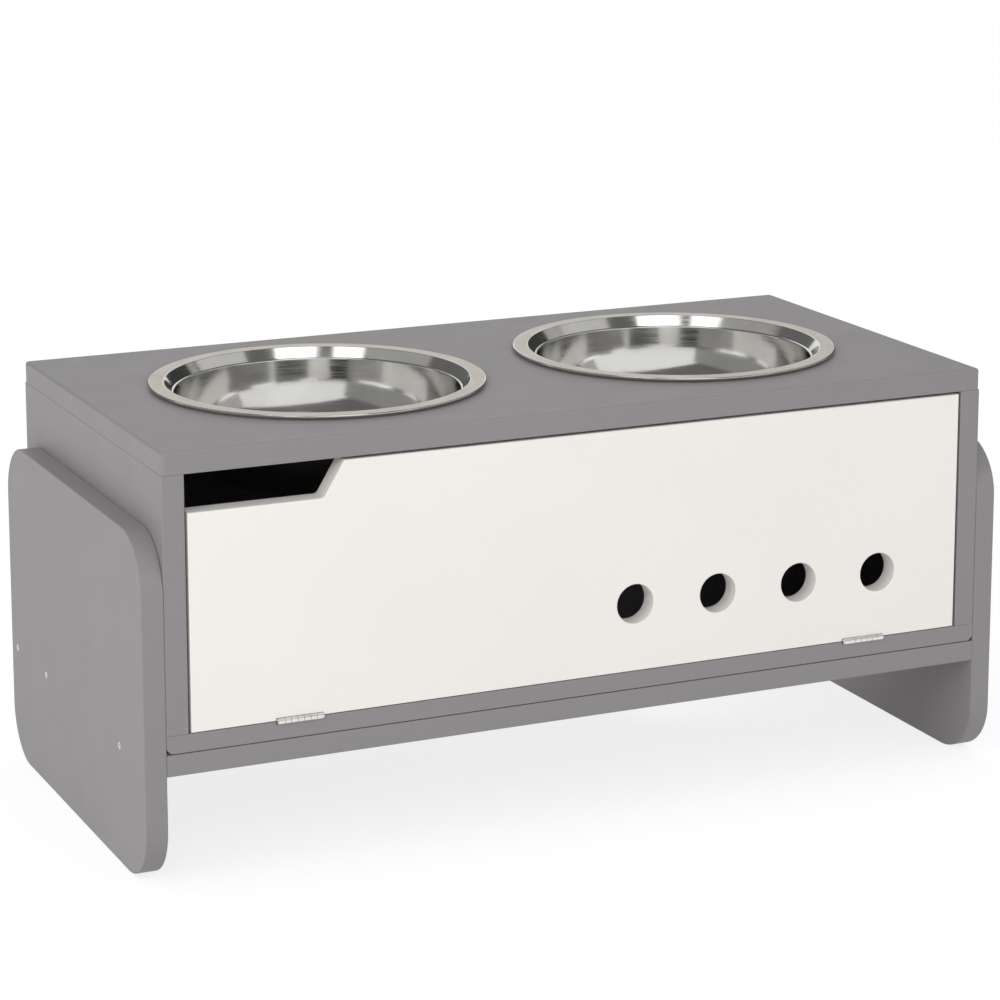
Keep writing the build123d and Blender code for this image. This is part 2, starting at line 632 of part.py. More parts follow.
def main():
    """Write each node to a file of its own."""
    os.makedirs("parts", exist_ok=True)
    for name, shape in feeder().items():
        solids = shape if isinstance(shape, list) else [shape]
        export_step(Compound(solids), f"parts/{name}.step")


main()
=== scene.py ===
"""Elevated dog feeder with storage, finished: its lacquered boards, pressed steel bowls, butt hinges,
screws, knock-down fittings and magnetic catch, and the studio that it stands in."""

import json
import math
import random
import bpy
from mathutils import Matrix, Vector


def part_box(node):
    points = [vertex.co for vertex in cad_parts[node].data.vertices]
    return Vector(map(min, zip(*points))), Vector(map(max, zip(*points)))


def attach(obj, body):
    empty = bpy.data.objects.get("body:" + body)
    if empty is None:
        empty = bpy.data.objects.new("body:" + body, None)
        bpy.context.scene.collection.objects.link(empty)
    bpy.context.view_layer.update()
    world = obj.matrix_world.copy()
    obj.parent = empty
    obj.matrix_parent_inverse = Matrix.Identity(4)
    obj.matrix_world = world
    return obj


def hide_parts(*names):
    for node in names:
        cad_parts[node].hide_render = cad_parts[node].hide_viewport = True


bl_info = {
    "name": "Elevated Dog Feeder",
    "version": (1, 0, 0),
    "blender": (4, 5, 0),
    "location": "View3D > Sidebar > Feeder",
    "description": "Makes the finished boards, bowls, hinges and fittings of an elevated dog feeder",
    "category": "Add Mesh",
}

from contextlib import contextmanager
from functools import cache
from typing import NamedTuple

import bmesh
import bpy
from mathutils import Matrix, Vector

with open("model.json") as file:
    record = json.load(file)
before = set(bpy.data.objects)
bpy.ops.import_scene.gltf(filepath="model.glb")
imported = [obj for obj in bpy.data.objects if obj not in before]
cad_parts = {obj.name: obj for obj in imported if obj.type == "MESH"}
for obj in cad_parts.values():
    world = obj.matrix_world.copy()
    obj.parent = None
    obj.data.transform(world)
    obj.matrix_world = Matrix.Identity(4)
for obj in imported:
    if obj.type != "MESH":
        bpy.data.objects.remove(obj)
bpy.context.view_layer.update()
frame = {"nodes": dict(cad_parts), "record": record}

MM = 0.001
NEAR = 0.02 * MM  # how close counts as on a plane
WELD = NEAR / 4  # how close corners become one
SHARP_TURN, SMOOTH_TURN = math.radians(40), math.radians(32)
X, Y, Z = 0, 1, 2
UP, DOWN = Vector((0, 0, 1)), Vector((0, 0, -1))
SIDES = (("left", -1), ("right", 1))
SLOT_OF = {part["node"]: part["material_slot"] for part in frame["record"]["subparts"]}
BODY_OF = {node: body for body, nodes in frame["record"]["behaviour"]["bodies"].items() for node in nodes}

# Levels and corners that the boards give
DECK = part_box("top_panel")[1].z
CAVITY_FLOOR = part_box("bottom_panel")[1].z
DOOR_LOW, DOOR_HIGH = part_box("door")


# ---- sizes and colours that a user may change ----
def length(label, description, millimetres):
    """Length property whose default is given in millimetres."""
    return bpy.props.FloatProperty(
        name=label, description=description, default=millimetres * MM, min=0.0, unit="LENGTH", precision=5
    )


def linear(hex_colour):
    """Linear RGBA of an sRGB hex colour, by sRGB's own curve."""
    parts = [int(hex_colour[start : start + 2], 16) / 255 for start in (1, 3, 5)]
    lit = (part / 12.92 if part <= 0.04045 else ((part + 0.055) / 1.055) ** 2.4 for part in parts)
    return (*lit, 1)


def colour(label, description, hex_colour):
    """Colour property whose default is an sRGB hex value."""
    return bpy.props.FloatVectorProperty(
        name=label, description=description, default=linear(hex_colour), subtype="COLOR", size=4, min=0, max=1
    )


class FeederBoardSizes(bpy.types.PropertyGroup):
    """Sizes of the boards and of what is cut into them."""

    arris: length("Arris", "Radius of the softened edges in front", 0.8)
    fine_arris: length("Fine arris", "Radius of the edges that meet another board", 0.4)
    top_corner: length("Top corner", "Radius of the top board's upright corners", 3.0)
    top_edge: length("Top edge", "Radius of the top board's upper edges", 2.0)
    bottom_end: length("Bottom end", "Radius under both ends of the cabinet's floor", 5.0)
    leg_corner: length("Leg corner", "Radius of the leg panels' corners", 38.0)
    shadow_gap: length("Shadow gap", "Height of the gap in front under the cabinet's floor", 0.6)
    shadow_depth: length("Shadow gap depth", "Depth of that gap", 3.0)
    bowl_hole: length("Bowl hole", "Radius of the holes that the bowls hang in", 107.0)
    notch_length: length("Notch length", "Length of the finger notch along its floor", 91.9)
    notch_depth: length("Notch depth", "Depth of the finger notch below the door's top", 23.6)
    notch_slant: length("Notch slant", "How far the notch's end leans out", 14.2)
    notch_fillet: length("Notch fillet", "Radius in the notch's corner", 2.0)
    peep_diameter: length("Peep hole", "Diameter of the ventilation holes", 27.4)
    peep_pitch: length("Peep pitch", "Distance between ventilation holes", 62.8)
    peep_end: length("Peep end distance", "From the door's right edge to the last hole", 62.7)
    peep_height: length("Peep height", "Height of the holes above the door's lower edge", 46.7)
    peep_count: bpy.props.IntProperty(
        name="Peep holes", description="Number of ventilation holes", default=4, min=1
    )


class FeederBowlSizes(bpy.types.PropertyGroup):
    """Sizes of the pressed steel bowls, radii from their own axis and depths from the brim."""

    sheet: length("Sheet", "Thickness of the pressed steel", 0.8)
    brim_curl: length("Brim curl", "Radius where the brim turns down", 0.8)
    lip_drop: length("Lip drop", "Depth of the brim's upright edge", 1.2)
    lip_tuck: length("Lip tuck", "How far the edge is tucked in below", 2.2)
    throat: length("Throat", "Inner radius of the flat brim", 104.7)
    throat_crease: length("Throat crease", "Radius of the edge between brim and throat", 0.7)
    step: length("Step", "Outer radius of the narrow step", 99.4)
    step_width: length("Step width", "Width of the narrow step under the throat", 1.4)
    step_depth: length("Step depth", "Depth of the step", 7.0)
    step_round: length("Step round", "Radius of the step's inner edge", 1.15)
    step_crease: length("Step crease", "Radius between step and throat", 0.35)
    waist: length("Waist", "Radius where the wall begins to curve in", 95.4)
    waist_depth: length("Waist depth", "Depth of that place", 35.0)
    floor: length("Floor", "Radius at which wall and floor would meet", 71.0)
    floor_curve: length("Floor curve", "Radius between wall and floor", 30.0)
    wall_curve: length("Wall curve", "Radius of the wall's bend", 60.0)


class FeederHardwareSizes(bpy.types.PropertyGroup):
    """Sizes of the hinges, screws, cams and catch."""

    leaf: length("Hinge leaf", "Thickness of a hinge leaf", 1.0)
    barrel: length("Barrel", "Radius of the hinge's barrel", 2.0)
    pin: length("Pin", "Radius of the hinge's pin", 1.0)
    pin_head: length("Pin head", "Height of the pin's riveted heads", 0.6)
    running_fit: length("Running fit", "Radial room round the pin", 0.05)
    knuckles: bpy.props.IntProperty(name="Knuckles", description="Knuckles on one barrel", default=7, min=3)
    knuckle_gap: length("Knuckle gap", "Gap between knuckles", 0.2)
    relief: length("Relief", "Room round the barrel in the boards", 0.3)
    bore_room: length("Bore room", "Radial room round what is set in the boards", 0.05)
    cam_slot_length: length("Cam slot length", "Length of the driver slot in a cam", 9.0)
    cam_slot_width: length("Cam slot width", "Width of the driver slot", 1.6)
    cam_slot_depth: length("Cam slot depth", "Depth of the driver slot", 2.0)
    ear_length: length("Catch ear", "Length of the catch's ears", 9.0)
    ear_thickness: length("Catch ear thickness", "Thickness of the catch's ears", 3.0)


class FeederColours(bpy.types.PropertyGroup):
    """Colours of the finishes."""

    grey: colour("Grey boards", "Satin grey lacquer", "#8B8889")
    white: colour("Door", "Satin off-white lacquer", "#EFECE7")
    hardboard: colour("Back panel", "Grey hardboard", "#868284")
    stainless: colour("Bowls", "Stainless steel", "#D9D8D5")
    # brim tint: stainless steel darkened and warmed to the tone of its reflections, partly painted reflection
    brim: colour("Brims", "Satin stainless steel", "#D2CCC1")
    nickel: colour("Hinges", "Nickel plate", "#EDEBE6")
    zinc: colour("Screws", "Zinc plate", "#DADADA")
    casting: colour("Cams", "Die-cast zinc", "#A9ABAE")
    beech: colour("Dowels", "Turned beech", "#D0A878")
    nylon: colour("Catch", "Moulded nylon", "#E4E3DE")
    ferrite: colour("Magnet", "Sintered ferrite", "#3B3B3D")


def board_sizes():
    """The scene's board sizes."""
    return bpy.context.scene.feeder_boards


def bowl_sizes():
    """The scene's bowl sizes."""
    return bpy.context.scene.feeder_bowls


def hardware_sizes():
    """The scene's hardware sizes."""
    return bpy.context.scene.feeder_hardware


def colours():
    """The scene's colours."""
    return bpy.context.scene.feeder_colours


# ---- shaping helpers ----
def select_only(*pieces):
    """Select these pieces and nothing else, and make the first one active."""
    bpy.ops.object.select_all(action="DESELECT")
    for piece in pieces:
        piece.select_set(True)
    bpy.context.view_layer.objects.active = pieces[0]


@contextmanager
def editing(piece):
    """Edit mode on one piece, with nothing of its mesh selected."""
    select_only(piece)
    bpy.ops.object.mode_set(mode="EDIT")
    bpy.ops.mesh.select_all(action="DESELECT")
    yield
    bpy.ops.object.mode_set(mode="OBJECT")


def select(piece, kind, *tests):
    """Select the edges or faces of a piece in edit mode that pass every test."""
    bpy.ops.mesh.select_mode(type=kind)
    mesh = bmesh.from_edit_mesh(piece.data)
    for part in mesh.edges if kind == "EDGE" else mesh.faces:
        part.select_set(all(test(part) for test in tests))
    bmesh.update_edit_mesh(piece.data)


def on_plane(axis, level):
    """Test for edges and faces that lie in a plane across an axis."""
    return lambda part: all(abs(vertex.co[axis] - level) < NEAR for vertex in part.verts)


def runs_along(axis):
    """Test for edges parallel to an axis."""

    def test(edge):
        run = edge.verts[1].co - edge.verts[0].co
        return abs(run[axis]) > 0.999 * run.length

    return test


def is_sharp(edge):
    """Test for edges where the surface turns sharply."""
    return edge.is_manifold and edge.calc_face_angle() > SHARP_TURN


def round_edges(piece, radius, steps, *tests):
    """Round the edges that pass every test."""
    with editing(piece):
        select(piece, "EDGE", *tests)
        bpy.ops.mesh.bevel(offset=radius, offset_type="OFFSET", segments=steps, affect="EDGES")


def settle(piece):
    """Move a piece's place and turn from its object into its mesh."""
    select_only(piece)
    bpy.ops.object.transform_apply(location=True, rotation=True, scale=True)
    return piece


def block(name, low, high):
    """Cube stretched between two corners, to be shaped further."""
    low, high = Vector(low), Vector(high)
    bpy.ops.object.select_all(action="DESELECT")
    bpy.ops.mesh.primitive_cube_add(size=1, location=(low + high) / 2, scale=high - low)
    piece = bpy.context.object
    piece.name = name
    return settle(piece)


def bar(name, radius, start, end, sides=64):
    """Round bar between two points, to be shaped further."""
    start, end = Vector(start), Vector(end)
    run = end - start
    turn = run.to_track_quat("Z", "Y").to_euler()
    bpy.ops.object.select_all(action="DESELECT")
    bpy.ops.mesh.primitive_cylinder_add(
        vertices=sides, radius=radius, depth=run.length, location=(start + end) / 2, rotation=turn
    )
    piece = bpy.context.object
    piece.name = name
    return settle(piece)


def turned(name, outline, place=(0, 0, 0), direction=UP, steps=64):
    """Body turned about a line through a place, from an outline of (radius, distance) points."""
    bpy.ops.object.select_all(action="DESELECT")
    bpy.ops.mesh.primitive_plane_add(size=MM)
    piece = bpy.context.object
    piece.name = name
    bpy.ops.object.mode_set(mode="EDIT")
    bpy.ops.mesh.select_mode(type="VERT")
    bpy.ops.mesh.select_all(action="SELECT")
    bpy.ops.mesh.merge(type="CENTER")
    points = [Vector((radius, 0, distance)) for radius, distance in outline]
    bpy.ops.transform.translate(value=points[0])
    for last, point in zip(points, points[1:]):
        bpy.ops.mesh.extrude_region_move(TRANSFORM_OT_translate={"value": point - last})
    bpy.ops.mesh.select_all(action="SELECT")
    bpy.ops.mesh.spin(steps=steps, angle=2 * math.pi, center=(0, 0, 0), axis=UP)
    bpy.ops.mesh.select_all(action="SELECT")
    bpy.ops.mesh.remove_doubles(threshold=WELD / 5)
    bpy.ops.mesh.normals_make_consistent(inside=False)
    bpy.ops.object.mode_set(mode="OBJECT")
    piece.location = place
    piece.rotation_euler = Vector(direction).to_track_quat("Z", "Y").to_euler()
    return settle(piece)


def apply_modifier(piece, kind, **settings):
    """Add a modifier with its settings and apply it."""
    select_only(piece)
    modifier = piece.modifiers.new(kind.title(), kind)
    for name, value in settings.items():
        setattr(modifier, name, value)
    bpy.ops.object.modifier_apply(modifier=modifier.name)


def combine(piece, tool, operation="DIFFERENCE"):
    """Cut a piece with a tool, or join the tool to it, and throw the tool away."""
    apply_modifier(piece, "BOOLEAN", operation=operation, solver="EXACT", object=tool)
    bpy.data.objects.remove(tool)
    return piece


def copy_of(piece, name, move=(0, 0, 0), turn=None):
    """Copy of a piece with a mesh of its own, turned and then moved."""
    copy = bpy.data.objects.new(name, piece.data.copy())
    bpy.context.scene.collection.objects.link(copy)
    if turn is not None:
        copy.rotation_euler = turn
    copy.location = move
    return settle(copy)


def joined(name, pieces):
    """Several pieces made one object."""
    select_only(*pieces)
    bpy.ops.object.join()
    pieces[0].name = name
    return pieces[0]


def node_tool(node, room):
    """Tool for the hole of a node: the node's own shape, grown all round by some room."""
    tool = copy_of(frame["nodes"][node], "tool")
    tool.data.materials.clear()
    with editing(tool):
        bpy.ops.mesh.select_all(action="SELECT")
        bpy.ops.mesh.remove_doubles(threshold=WELD)
        bpy.ops.mesh.normals_make_consistent(inside=False)
        bpy.ops.transform.shrink_fatten(value=room, use_even_offset=True)
    return tool


def cut_for(piece, *nodes):
    """Cut a piece for the nodes that are set in it."""
    for node in nodes:
        combine(piece, node_tool(node, hardware_sizes().bore_room))
    return piece


def solids_in(node):
    """Low and high corner of each separate solid in a node."""
    mesh = bmesh.new()
    mesh.from_mesh(frame["nodes"][node].data)
    bmesh.ops.remove_doubles(mesh, verts=mesh.verts, dist=WELD)
    left, boxes = set(mesh.verts), []
    while left:
        island, edge = set(), {left.pop()}
        while edge:
            island |= edge
            edge = {other.other_vert(v) for v in edge for other in v.link_edges} - island
        left -= island
        places = [vertex.co for vertex in island]
        low, high = (Vector([pick(p[axis] for p in places) for axis in (X, Y, Z)]) for pick in (min, max))
        boxes.append((low, high))
    mesh.free()
    return sorted(boxes, key=lambda box: tuple(box[0]))


def rounded(corners, chord=math.radians(7)):
    """Outline through (x, z, fillet) corners, with each fillet as short chords of its arc."""
    line = []
    for index, (x, z, fillet) in enumerate(corners):
        here = Vector((x, z))
        if not fillet:
            line.append(here)
            continue
        back = (Vector(corners[index - 1][:2]) - here).normalized()
        ahead = (Vector(corners[index + 1][:2]) - here).normalized()
        half = back.angle(ahead) / 2
        centre = here + (back + ahead).normalized() * fillet / math.sin(half)
        spoke = here + back * fillet / math.tan(half) - centre
        sweep = math.copysign(math.pi - 2 * half, back.x * ahead.y - back.y * ahead.x) * -1
        count = max(2, math.ceil(abs(sweep) / chord))
        line += [centre + Matrix.Rotation(sweep * step / count, 2) @ spoke for step in range(count + 1)]
    return [tuple(point) for point in line]


# ---- shader helpers ----
MIX_FACTOR, MIX_A, MIX_B, MIX_RESULT = 0, 6, 7, 2  # sockets of a colour Mix node
PATTERN_LOW, PATTERN_HIGH = 0.35, 0.65  # where most of a random pattern lies
AROUND = 3.0  # how fast the steel's rings change on their way round


def add_node(tree, kind, inputs=None, **settings):
    """Add a node with its settings, and set its inputs to values or link them to sockets."""
    node = tree.nodes.new(kind)
    for name, value in settings.items():
        setattr(node, name, value)
    for name, value in (inputs or {}).items():
        if isinstance(value, bpy.types.NodeSocket):
            tree.links.new(value, node.inputs[name])
        else:
            node.inputs[name].default_value = value
    return node


def start_material(name, **constants):
    """New material with its shader's plain values set: the material, its tree and its shader."""
    material = bpy.data.materials.new(name)
    material.use_nodes = True
    shader = material.node_tree.nodes["Principled BSDF"]
    for socket, value in constants.items():
        shader.inputs[socket.replace("_", " ")].default_value = value
    return material, material.node_tree, shader


def random_pattern(tree, size, detail, roughness=0.5, density=(1, 1, 1)):
    """Random pattern on the piece, whose features lie about so many millimetres apart.

    Density says how many times closer they lie along each axis.
    """
    place = add_node(tree, "ShaderNodeTexCoord").outputs["Object"]
    place = add_node(tree, "ShaderNodeMapping", {"Vector": place, "Scale": density}).outputs["Vector"]
    inputs = {"Vector": place, "Scale": 1 / (size * MM), "Detail": detail, "Roughness": roughness}
    return add_node(tree, "ShaderNodeTexNoise", inputs).outputs["Fac"]


def spin_marks(tree, size):
    """Random pattern drawn out into fine rings round the bowls' axes.

    Both bowls stand equally far from the middle, so the size of x finds either axis.
    """
    low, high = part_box("bowl_right")
    middle = (low.x + high.x) / 2
    place = add_node(tree, "ShaderNodeTexCoord").outputs["Object"]
    x, y, z = add_node(tree, "ShaderNodeSeparateXYZ", {"Vector": place}).outputs
    x = add_node(tree, "ShaderNodeMath", {0: x}, operation="ABSOLUTE").outputs[0]
    x = add_node(tree, "ShaderNodeMath", {0: x, 1: middle}, operation="SUBTRACT").outputs[0]
    spoke = add_node(tree, "ShaderNodeCombineXYZ", {"X": x, "Y": y}).outputs[0]
    radius = add_node(tree, "ShaderNodeVectorMath", {0: spoke}, operation="LENGTH").outputs["Value"]
    path = add_node(tree, "ShaderNodeMath", {0: radius, 1: z}, operation="ADD").outputs[0]
    rings = add_node(tree, "ShaderNodeMath", {0: path, 1: 1 / (size * MM)}, operation="MULTIPLY").outputs[0]
    rings = add_node(tree, "ShaderNodeCombineXYZ", {"Z": rings}).outputs[0]
    turn = add_node(tree, "ShaderNodeVectorMath", {0: spoke}, operation="NORMALIZE").outputs[0]
    turn = add_node(tree, "ShaderNodeVectorMath", {0: turn, "Scale": AROUND}, operation="SCALE").outputs[0]
    place = add_node(tree, "ShaderNodeVectorMath", {0: turn, 1: rings}, operation="ADD").outputs[0]
    inputs = {"Vector": place, "Scale": 1.0, "Detail": 3.0, "Roughness": 0.6}
    return add_node(tree, "ShaderNodeTexNoise", inputs).outputs["Fac"]


def shade(tint, factor):
    """Colour made darker or lighter."""
    return tuple(min(1.0, part * factor) for part in tint[:3]) + (1,)


def blend(tree, pattern, first, second, share=1.0, start=PATTERN_LOW, end=PATTERN_HIGH):
    """Colour that takes up a share of a second tone as a pattern rises from start to end."""
    inputs = {"Value": pattern, "From Min": start, "From Max": end, "To Max": share}
    factor = add_node(tree, "ShaderNodeMapRange", inputs).outputs["Result"]
    inputs = {MIX_FACTOR: factor, MIX_A: first, MIX_B: second}
    return add_node(tree, "ShaderNodeMix", inputs, data_type="RGBA").outputs[MIX_RESULT]


def mottled(tree, pattern, tint, dark, light):
    """Tint made darker where a pattern is low and lighter where it is high."""
    return blend(tree, pattern, shade(tint, dark), shade(tint, light))


def finish_surface(tree, shader, tone, gloss, *reliefs):
    """Give a shader its colour, its gloss and its reliefs, the lowest relief first.

    Gloss is a pattern with its least and greatest roughness, and a relief is a pattern with its
    depth in millimetres.
    """
    tree.links.new(tone, shader.inputs["Base Color"])
    pattern, low, high = gloss
    inputs = {"Value": pattern, "From Min": PATTERN_LOW, "From Max": PATTERN_HIGH}
    inputs |= {"To Min": low, "To Max": high}
    tree.links.new(add_node(tree, "ShaderNodeMapRange", inputs).outputs["Result"], shader.inputs["Roughness"])
    below = {}
    for pattern, depth in reliefs:
        inputs = {"Height": pattern, "Distance": depth * MM, "Strength": 1.0} | below
        below = {"Normal": add_node(tree, "ShaderNodeBump", inputs).outputs["Normal"]}
    tree.links.new(below["Normal"], shader.inputs["Normal"])


# ---- finishes ----
def satin_lacquer(name, tint):
    """Sprayed satin lacquer on fibreboard: an even colour, a faint orange peel and a soft sheen."""
    material, tree, shader = start_material(name, IOR=1.5, Specular_IOR_Level=0.3)
    cloud = random_pattern(tree, 140, detail=2)
    specks = random_pattern(tree, 0.9, detail=1)
    sheen = random_pattern(tree, 35, detail=2)
    peel = random_pattern(tree, 1.6, detail=2)
    tone = mottled(tree, cloud, tint, 0.99, 1.01)
    tone = blend(tree, specks, tone, shade(tint, 1.03), share=0.5, start=0.3, end=0.7)
    finish_surface(tree, shader, tone, (sheen, 0.48, 0.52), (peel, 0.008))
    return material


def grey_lacquer():
    """Mid grey satin lacquer of the cabinet and the leg panels."""
    return satin_lacquer("grey_satin_lacquer", colours().grey)


def white_lacquer():
    """Off-white satin lacquer of the door."""
    return satin_lacquer("off_white_satin_lacquer", colours().white)


def grey_hardboard():
    """Pressed hardboard under one thin coat of grey: the matted fibres still show through."""
    material, tree, shader = start_material("grey_coated_hardboard", IOR=1.45)
    fibres = random_pattern(tree, 6, detail=6, roughness=0.7, density=(1, 1, 5))
    mat = random_pattern(tree, 1.2, detail=3)
    tone = mottled(tree, fibres, colours().hardboard, 0.94, 1.05)
    finish_surface(tree, shader, tone, (mat, 0.55, 0.7), (fibres, 0.05))
    return material


def turned_steel(name, tint, ring_size, ring_depth, roughness):
    """Stainless steel polished on a lathe: rings round the axis, coarser than real so that they show."""
    material, tree, shader = start_material(name, Metallic=1.0)
    rings = spin_marks(tree, ring_size)
    smears = random_pattern(tree, 22, detail=3)
    waves = random_pattern(tree, 26, detail=2)
    tone = mottled(tree, smears, tint, 0.95, 1.03)
    finish_surface(tree, shader, tone, (rings, *roughness), (waves, 0.1), (rings, ring_depth))
    return material


def satin_brim():
    """Brim, brushed in rings until it is satin. Its tint is stainless steel darkened and warmed to the tone
    of its reflections: partly painted reflection.
    """
    name, tint = "satin_brushed_stainless", colours().brim
    return turned_steel(name, tint, ring_size=0.5, ring_depth=0.004, roughness=(0.34, 0.44))


def polished_bowl():
    """Inside of a bowl, polished almost to a mirror."""
    name, tint = "polished_stainless", colours().stainless
    return turned_steel(name, tint, ring_size=0.7, ring_depth=0.001, roughness=(0.08, 0.17))


def drawn_steel():
    """Outside of a bowl, left as it came out of the press."""
    name, tint = "drawn_stainless", shade(colours().stainless, 0.8)
    return turned_steel(name, tint, ring_size=1.4, ring_depth=0.006, roughness=(0.28, 0.42))


def plated_steel(name, tint, roughness):
    """Plated steel: a thin bright skin over the rolled metal's fine scratches."""
    material, tree, shader = start_material(name, Metallic=1.0)
    scratches = random_pattern(tree, 1.2, detail=3, density=(1, 6, 6))
    patches = random_pattern(tree, 4, detail=2)
    tone = mottled(tree, patches, tint, 0.92, 1.04)
    finish_surface(tree, shader, tone, (scratches, *roughness), (scratches, 0.003))
    return material


def nickel_plate():
    """Satin nickel of the hinges, which spreads what it reflects into one light tone."""
    return plated_steel("satin_nickel_plate", colours().nickel, roughness=(0.36, 0.48))


def zinc_plate():
    """Passivated zinc of the screws and small steel parts."""
    return plated_steel("passivated_zinc_plate", colours().zinc, roughness=(0.26, 0.38))


def zinc_casting():
    """Die-cast zinc of the cams: dull, with the grain of the die's face."""
    material, tree, shader = start_material("die_cast_zinc", Metallic=1.0)
    grain = random_pattern(tree, 0.5, detail=4)
    flow = random_pattern(tree, 5, detail=2)
    tone = mottled(tree, flow, colours().casting, 0.85, 1.08)
    finish_surface(tree, shader, tone, (grain, 0.4, 0.58), (grain, 0.02))
    return material


def turned_beech():
    """Plain turned beech: straight pores along the dowel and short brown flecks."""
    tint = colours().beech
    material, tree, shader = start_material("plain_turned_beech", IOR=1.45)
    pores = random_pattern(tree, 0.5, detail=3, density=(1, 1, 0.08))
    flecks = random_pattern(tree, 1.6, detail=2, density=(1, 1, 0.3))
    tone = mottled(tree, pores, tint, 0.82, 1.1)
    tone = blend(tree, flecks, tone, shade(tint, 0.5), share=0.5, start=0.6, end=0.75)
    finish_surface(tree, shader, tone, (pores, 0.5, 0.65), (pores, 0.03))
    return material


def moulded_nylon():
    """Moulded nylon of the catch: slightly waxy, with a fine spark-eroded grain."""
    material, tree, shader = start_material("moulded_nylon", IOR=1.53)
    grain = random_pattern(tree, 0.35, detail=2)
    cloud = random_pattern(tree, 8, detail=2)
    tone = mottled(tree, cloud, colours().nylon, 0.97, 1.02)
    finish_surface(tree, shader, tone, (grain, 0.42, 0.55), (grain, 0.012))
    return material


def sintered_ferrite():
    """Sintered ferrite: dark, brittle and finely granular."""
    material, tree, shader = start_material("sintered_ferrite", IOR=2.2)
    grains = random_pattern(tree, 0.6, detail=5, roughness=0.7)
    tone = mottled(tree, grains, colours().ferrite, 0.7, 1.4)
    finish_surface(tree, shader, tone, (grains, 0.45, 0.65), (grains, 0.03))
    return material


FINISH_OF_SLOT = {
    "grey_board": grey_lacquer,
    "white_board": white_lacquer,
    "grey_hardboard": grey_hardboard,
    "stainless": polished_bowl,
    "nickel_steel": nickel_plate,
    "zinc_steel": zinc_plate,
    "zinc_casting": zinc_casting,
    "beech": turned_beech,
    "catch_plastic": moulded_nylon,
    "ferrite": sintered_ferrite,
}


@cache
def finish_of(maker):
    """Material that a maker makes, made once and then shared."""
    return maker()


def place_piece(piece, *nodes, makers=None):
    """Smooth a finished piece, give it its materials and let it stand for its nodes."""
    select_only(piece)
    bpy.ops.object.shade_smooth_by_angle(angle=SMOOTH_TURN)
    apply_modifier(piece, "WEIGHTED_NORMAL", keep_sharp=True)
    if makers is None:
        piece.data.materials.clear()
        makers = [FINISH_OF_SLOT[SLOT_OF[nodes[0]]]]
    for index, maker in enumerate(makers):
        if index < len(piece.data.materials):
            piece.data.materials[index] = finish_of(maker)
        else:
            piece.data.materials.append(finish_of(maker))
    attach(piece, BODY_OF[nodes[0]])
    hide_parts(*nodes)
    return piece


def finish_nodes(*nodes):
    """Give nodes that keep their own shape a material."""
    for node in nodes:
        for slot in frame["nodes"][node].material_slots:
            slot.material = finish_of(FINISH_OF_SLOT[SLOT_OF[node]])


# ---- boards ----
def make_top_board():
    """Top board: rounded corners and upper edges, two bowl holes, blind bores underneath."""
    sizes = board_sizes()
    low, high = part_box("top_panel")
    board = block("top_board", low, high)
    round_edges(board, sizes.top_corner, 8, runs_along(Z))
    round_edges(board, sizes.top_edge, 6, on_plane(Z, high.z))
    round_edges(board, sizes.fine_arris, 2, on_plane(Z, low.z))
    for name, _ in SIDES:
        bowl_low, bowl_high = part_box(f"bowl_{name}")
        axis = (bowl_low + bowl_high) / 2
        start, end = Vector((axis.x, axis.y, low.z - MM)), Vector((axis.x, axis.y, high.z + MM))
        combine(board, bar("hole", sizes.bowl_hole, start, end, sides=192))
        cut_for(board, f"cam_bolts_{name}", f"dowels_{name}")
    cut_for(board, "back_panel", "catch_screws")
    place_piece(board, "top_panel")


def make_side_boards():
    """Side boards: softened front edges, back groove, and bores for cams, bolts, dowels and screws."""
    sizes = board_sizes()
    for name, _ in SIDES:
        low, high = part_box(f"side_panel_{name}")
        board = block(f"side_board_{name}", low, high)
        round_edges(board, sizes.arris, 4, on_plane(Y, low.y), runs_along(Z))
        round_edges(board, sizes.fine_arris, 2, is_sharp)
        cut_for(board, "back_panel", f"cam_discs_{name}", f"cam_bolts_{name}", f"dowels_{name}")
        cut_for(board, f"side_screws_{name}", f"brace_screws_{name}")
        place_piece(board, f"side_panel_{name}")


def hinge_middle(name):
    """Middle of a hinge's pin."""
    low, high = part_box(f"hinge_pin_{name}")
    return (low + high) / 2


def cut_hinge_seats(board, leaf_kind, level, direction):
    """Cut the seats of both leaves and the channels round both barrels into a board's edge."""
    sizes = hardware_sizes()
    for name, _ in SIDES:
        pin = hinge_middle(name)
        low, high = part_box(f"hinge_{leaf_kind}_leaf_{name}")
        room = sizes.bore_room
        near = level - direction.z * (sizes.knuckle_gap + MM)
        far = level + direction.z * sizes.leaf
        seat_low = (low.x - room, pin.y - MM, min(near, far))
        seat_high = (high.x + room, high.y + room, max(near, far))
        combine(board, block("seat", seat_low, seat_high))
        half = (high.x - low.x) / 2 + sizes.pin_head + sizes.relief
        reach = Vector((half, 0, 0))
        combine(board, bar("channel", sizes.barrel + sizes.relief, pin - reach, pin + reach, sides=48))
        cut_for(board, f"hinge_{leaf_kind}_screws_{name}")


def make_bottom_board():
    """Cabinet floor: rounded lower ends, hinge seats, back groove and screw holes."""
    sizes = board_sizes()
    low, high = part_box("bottom_panel")
    board = block("bottom_board", low, high)
    round_edges(board, sizes.bottom_end, 8, on_plane(Z, low.z), runs_along(Y))
    round_edges(board, sizes.arris, 4, on_plane(Z, low.z), on_plane(Y, low.y))
    round_edges(board, sizes.fine_arris, 3, is_sharp)
    cut_hinge_seats(board, "case", high.z, DOWN)
    cut_for(board, "back_panel", "base_screws", "side_screws_left", "side_screws_right")
    place_piece(board, "bottom_panel")


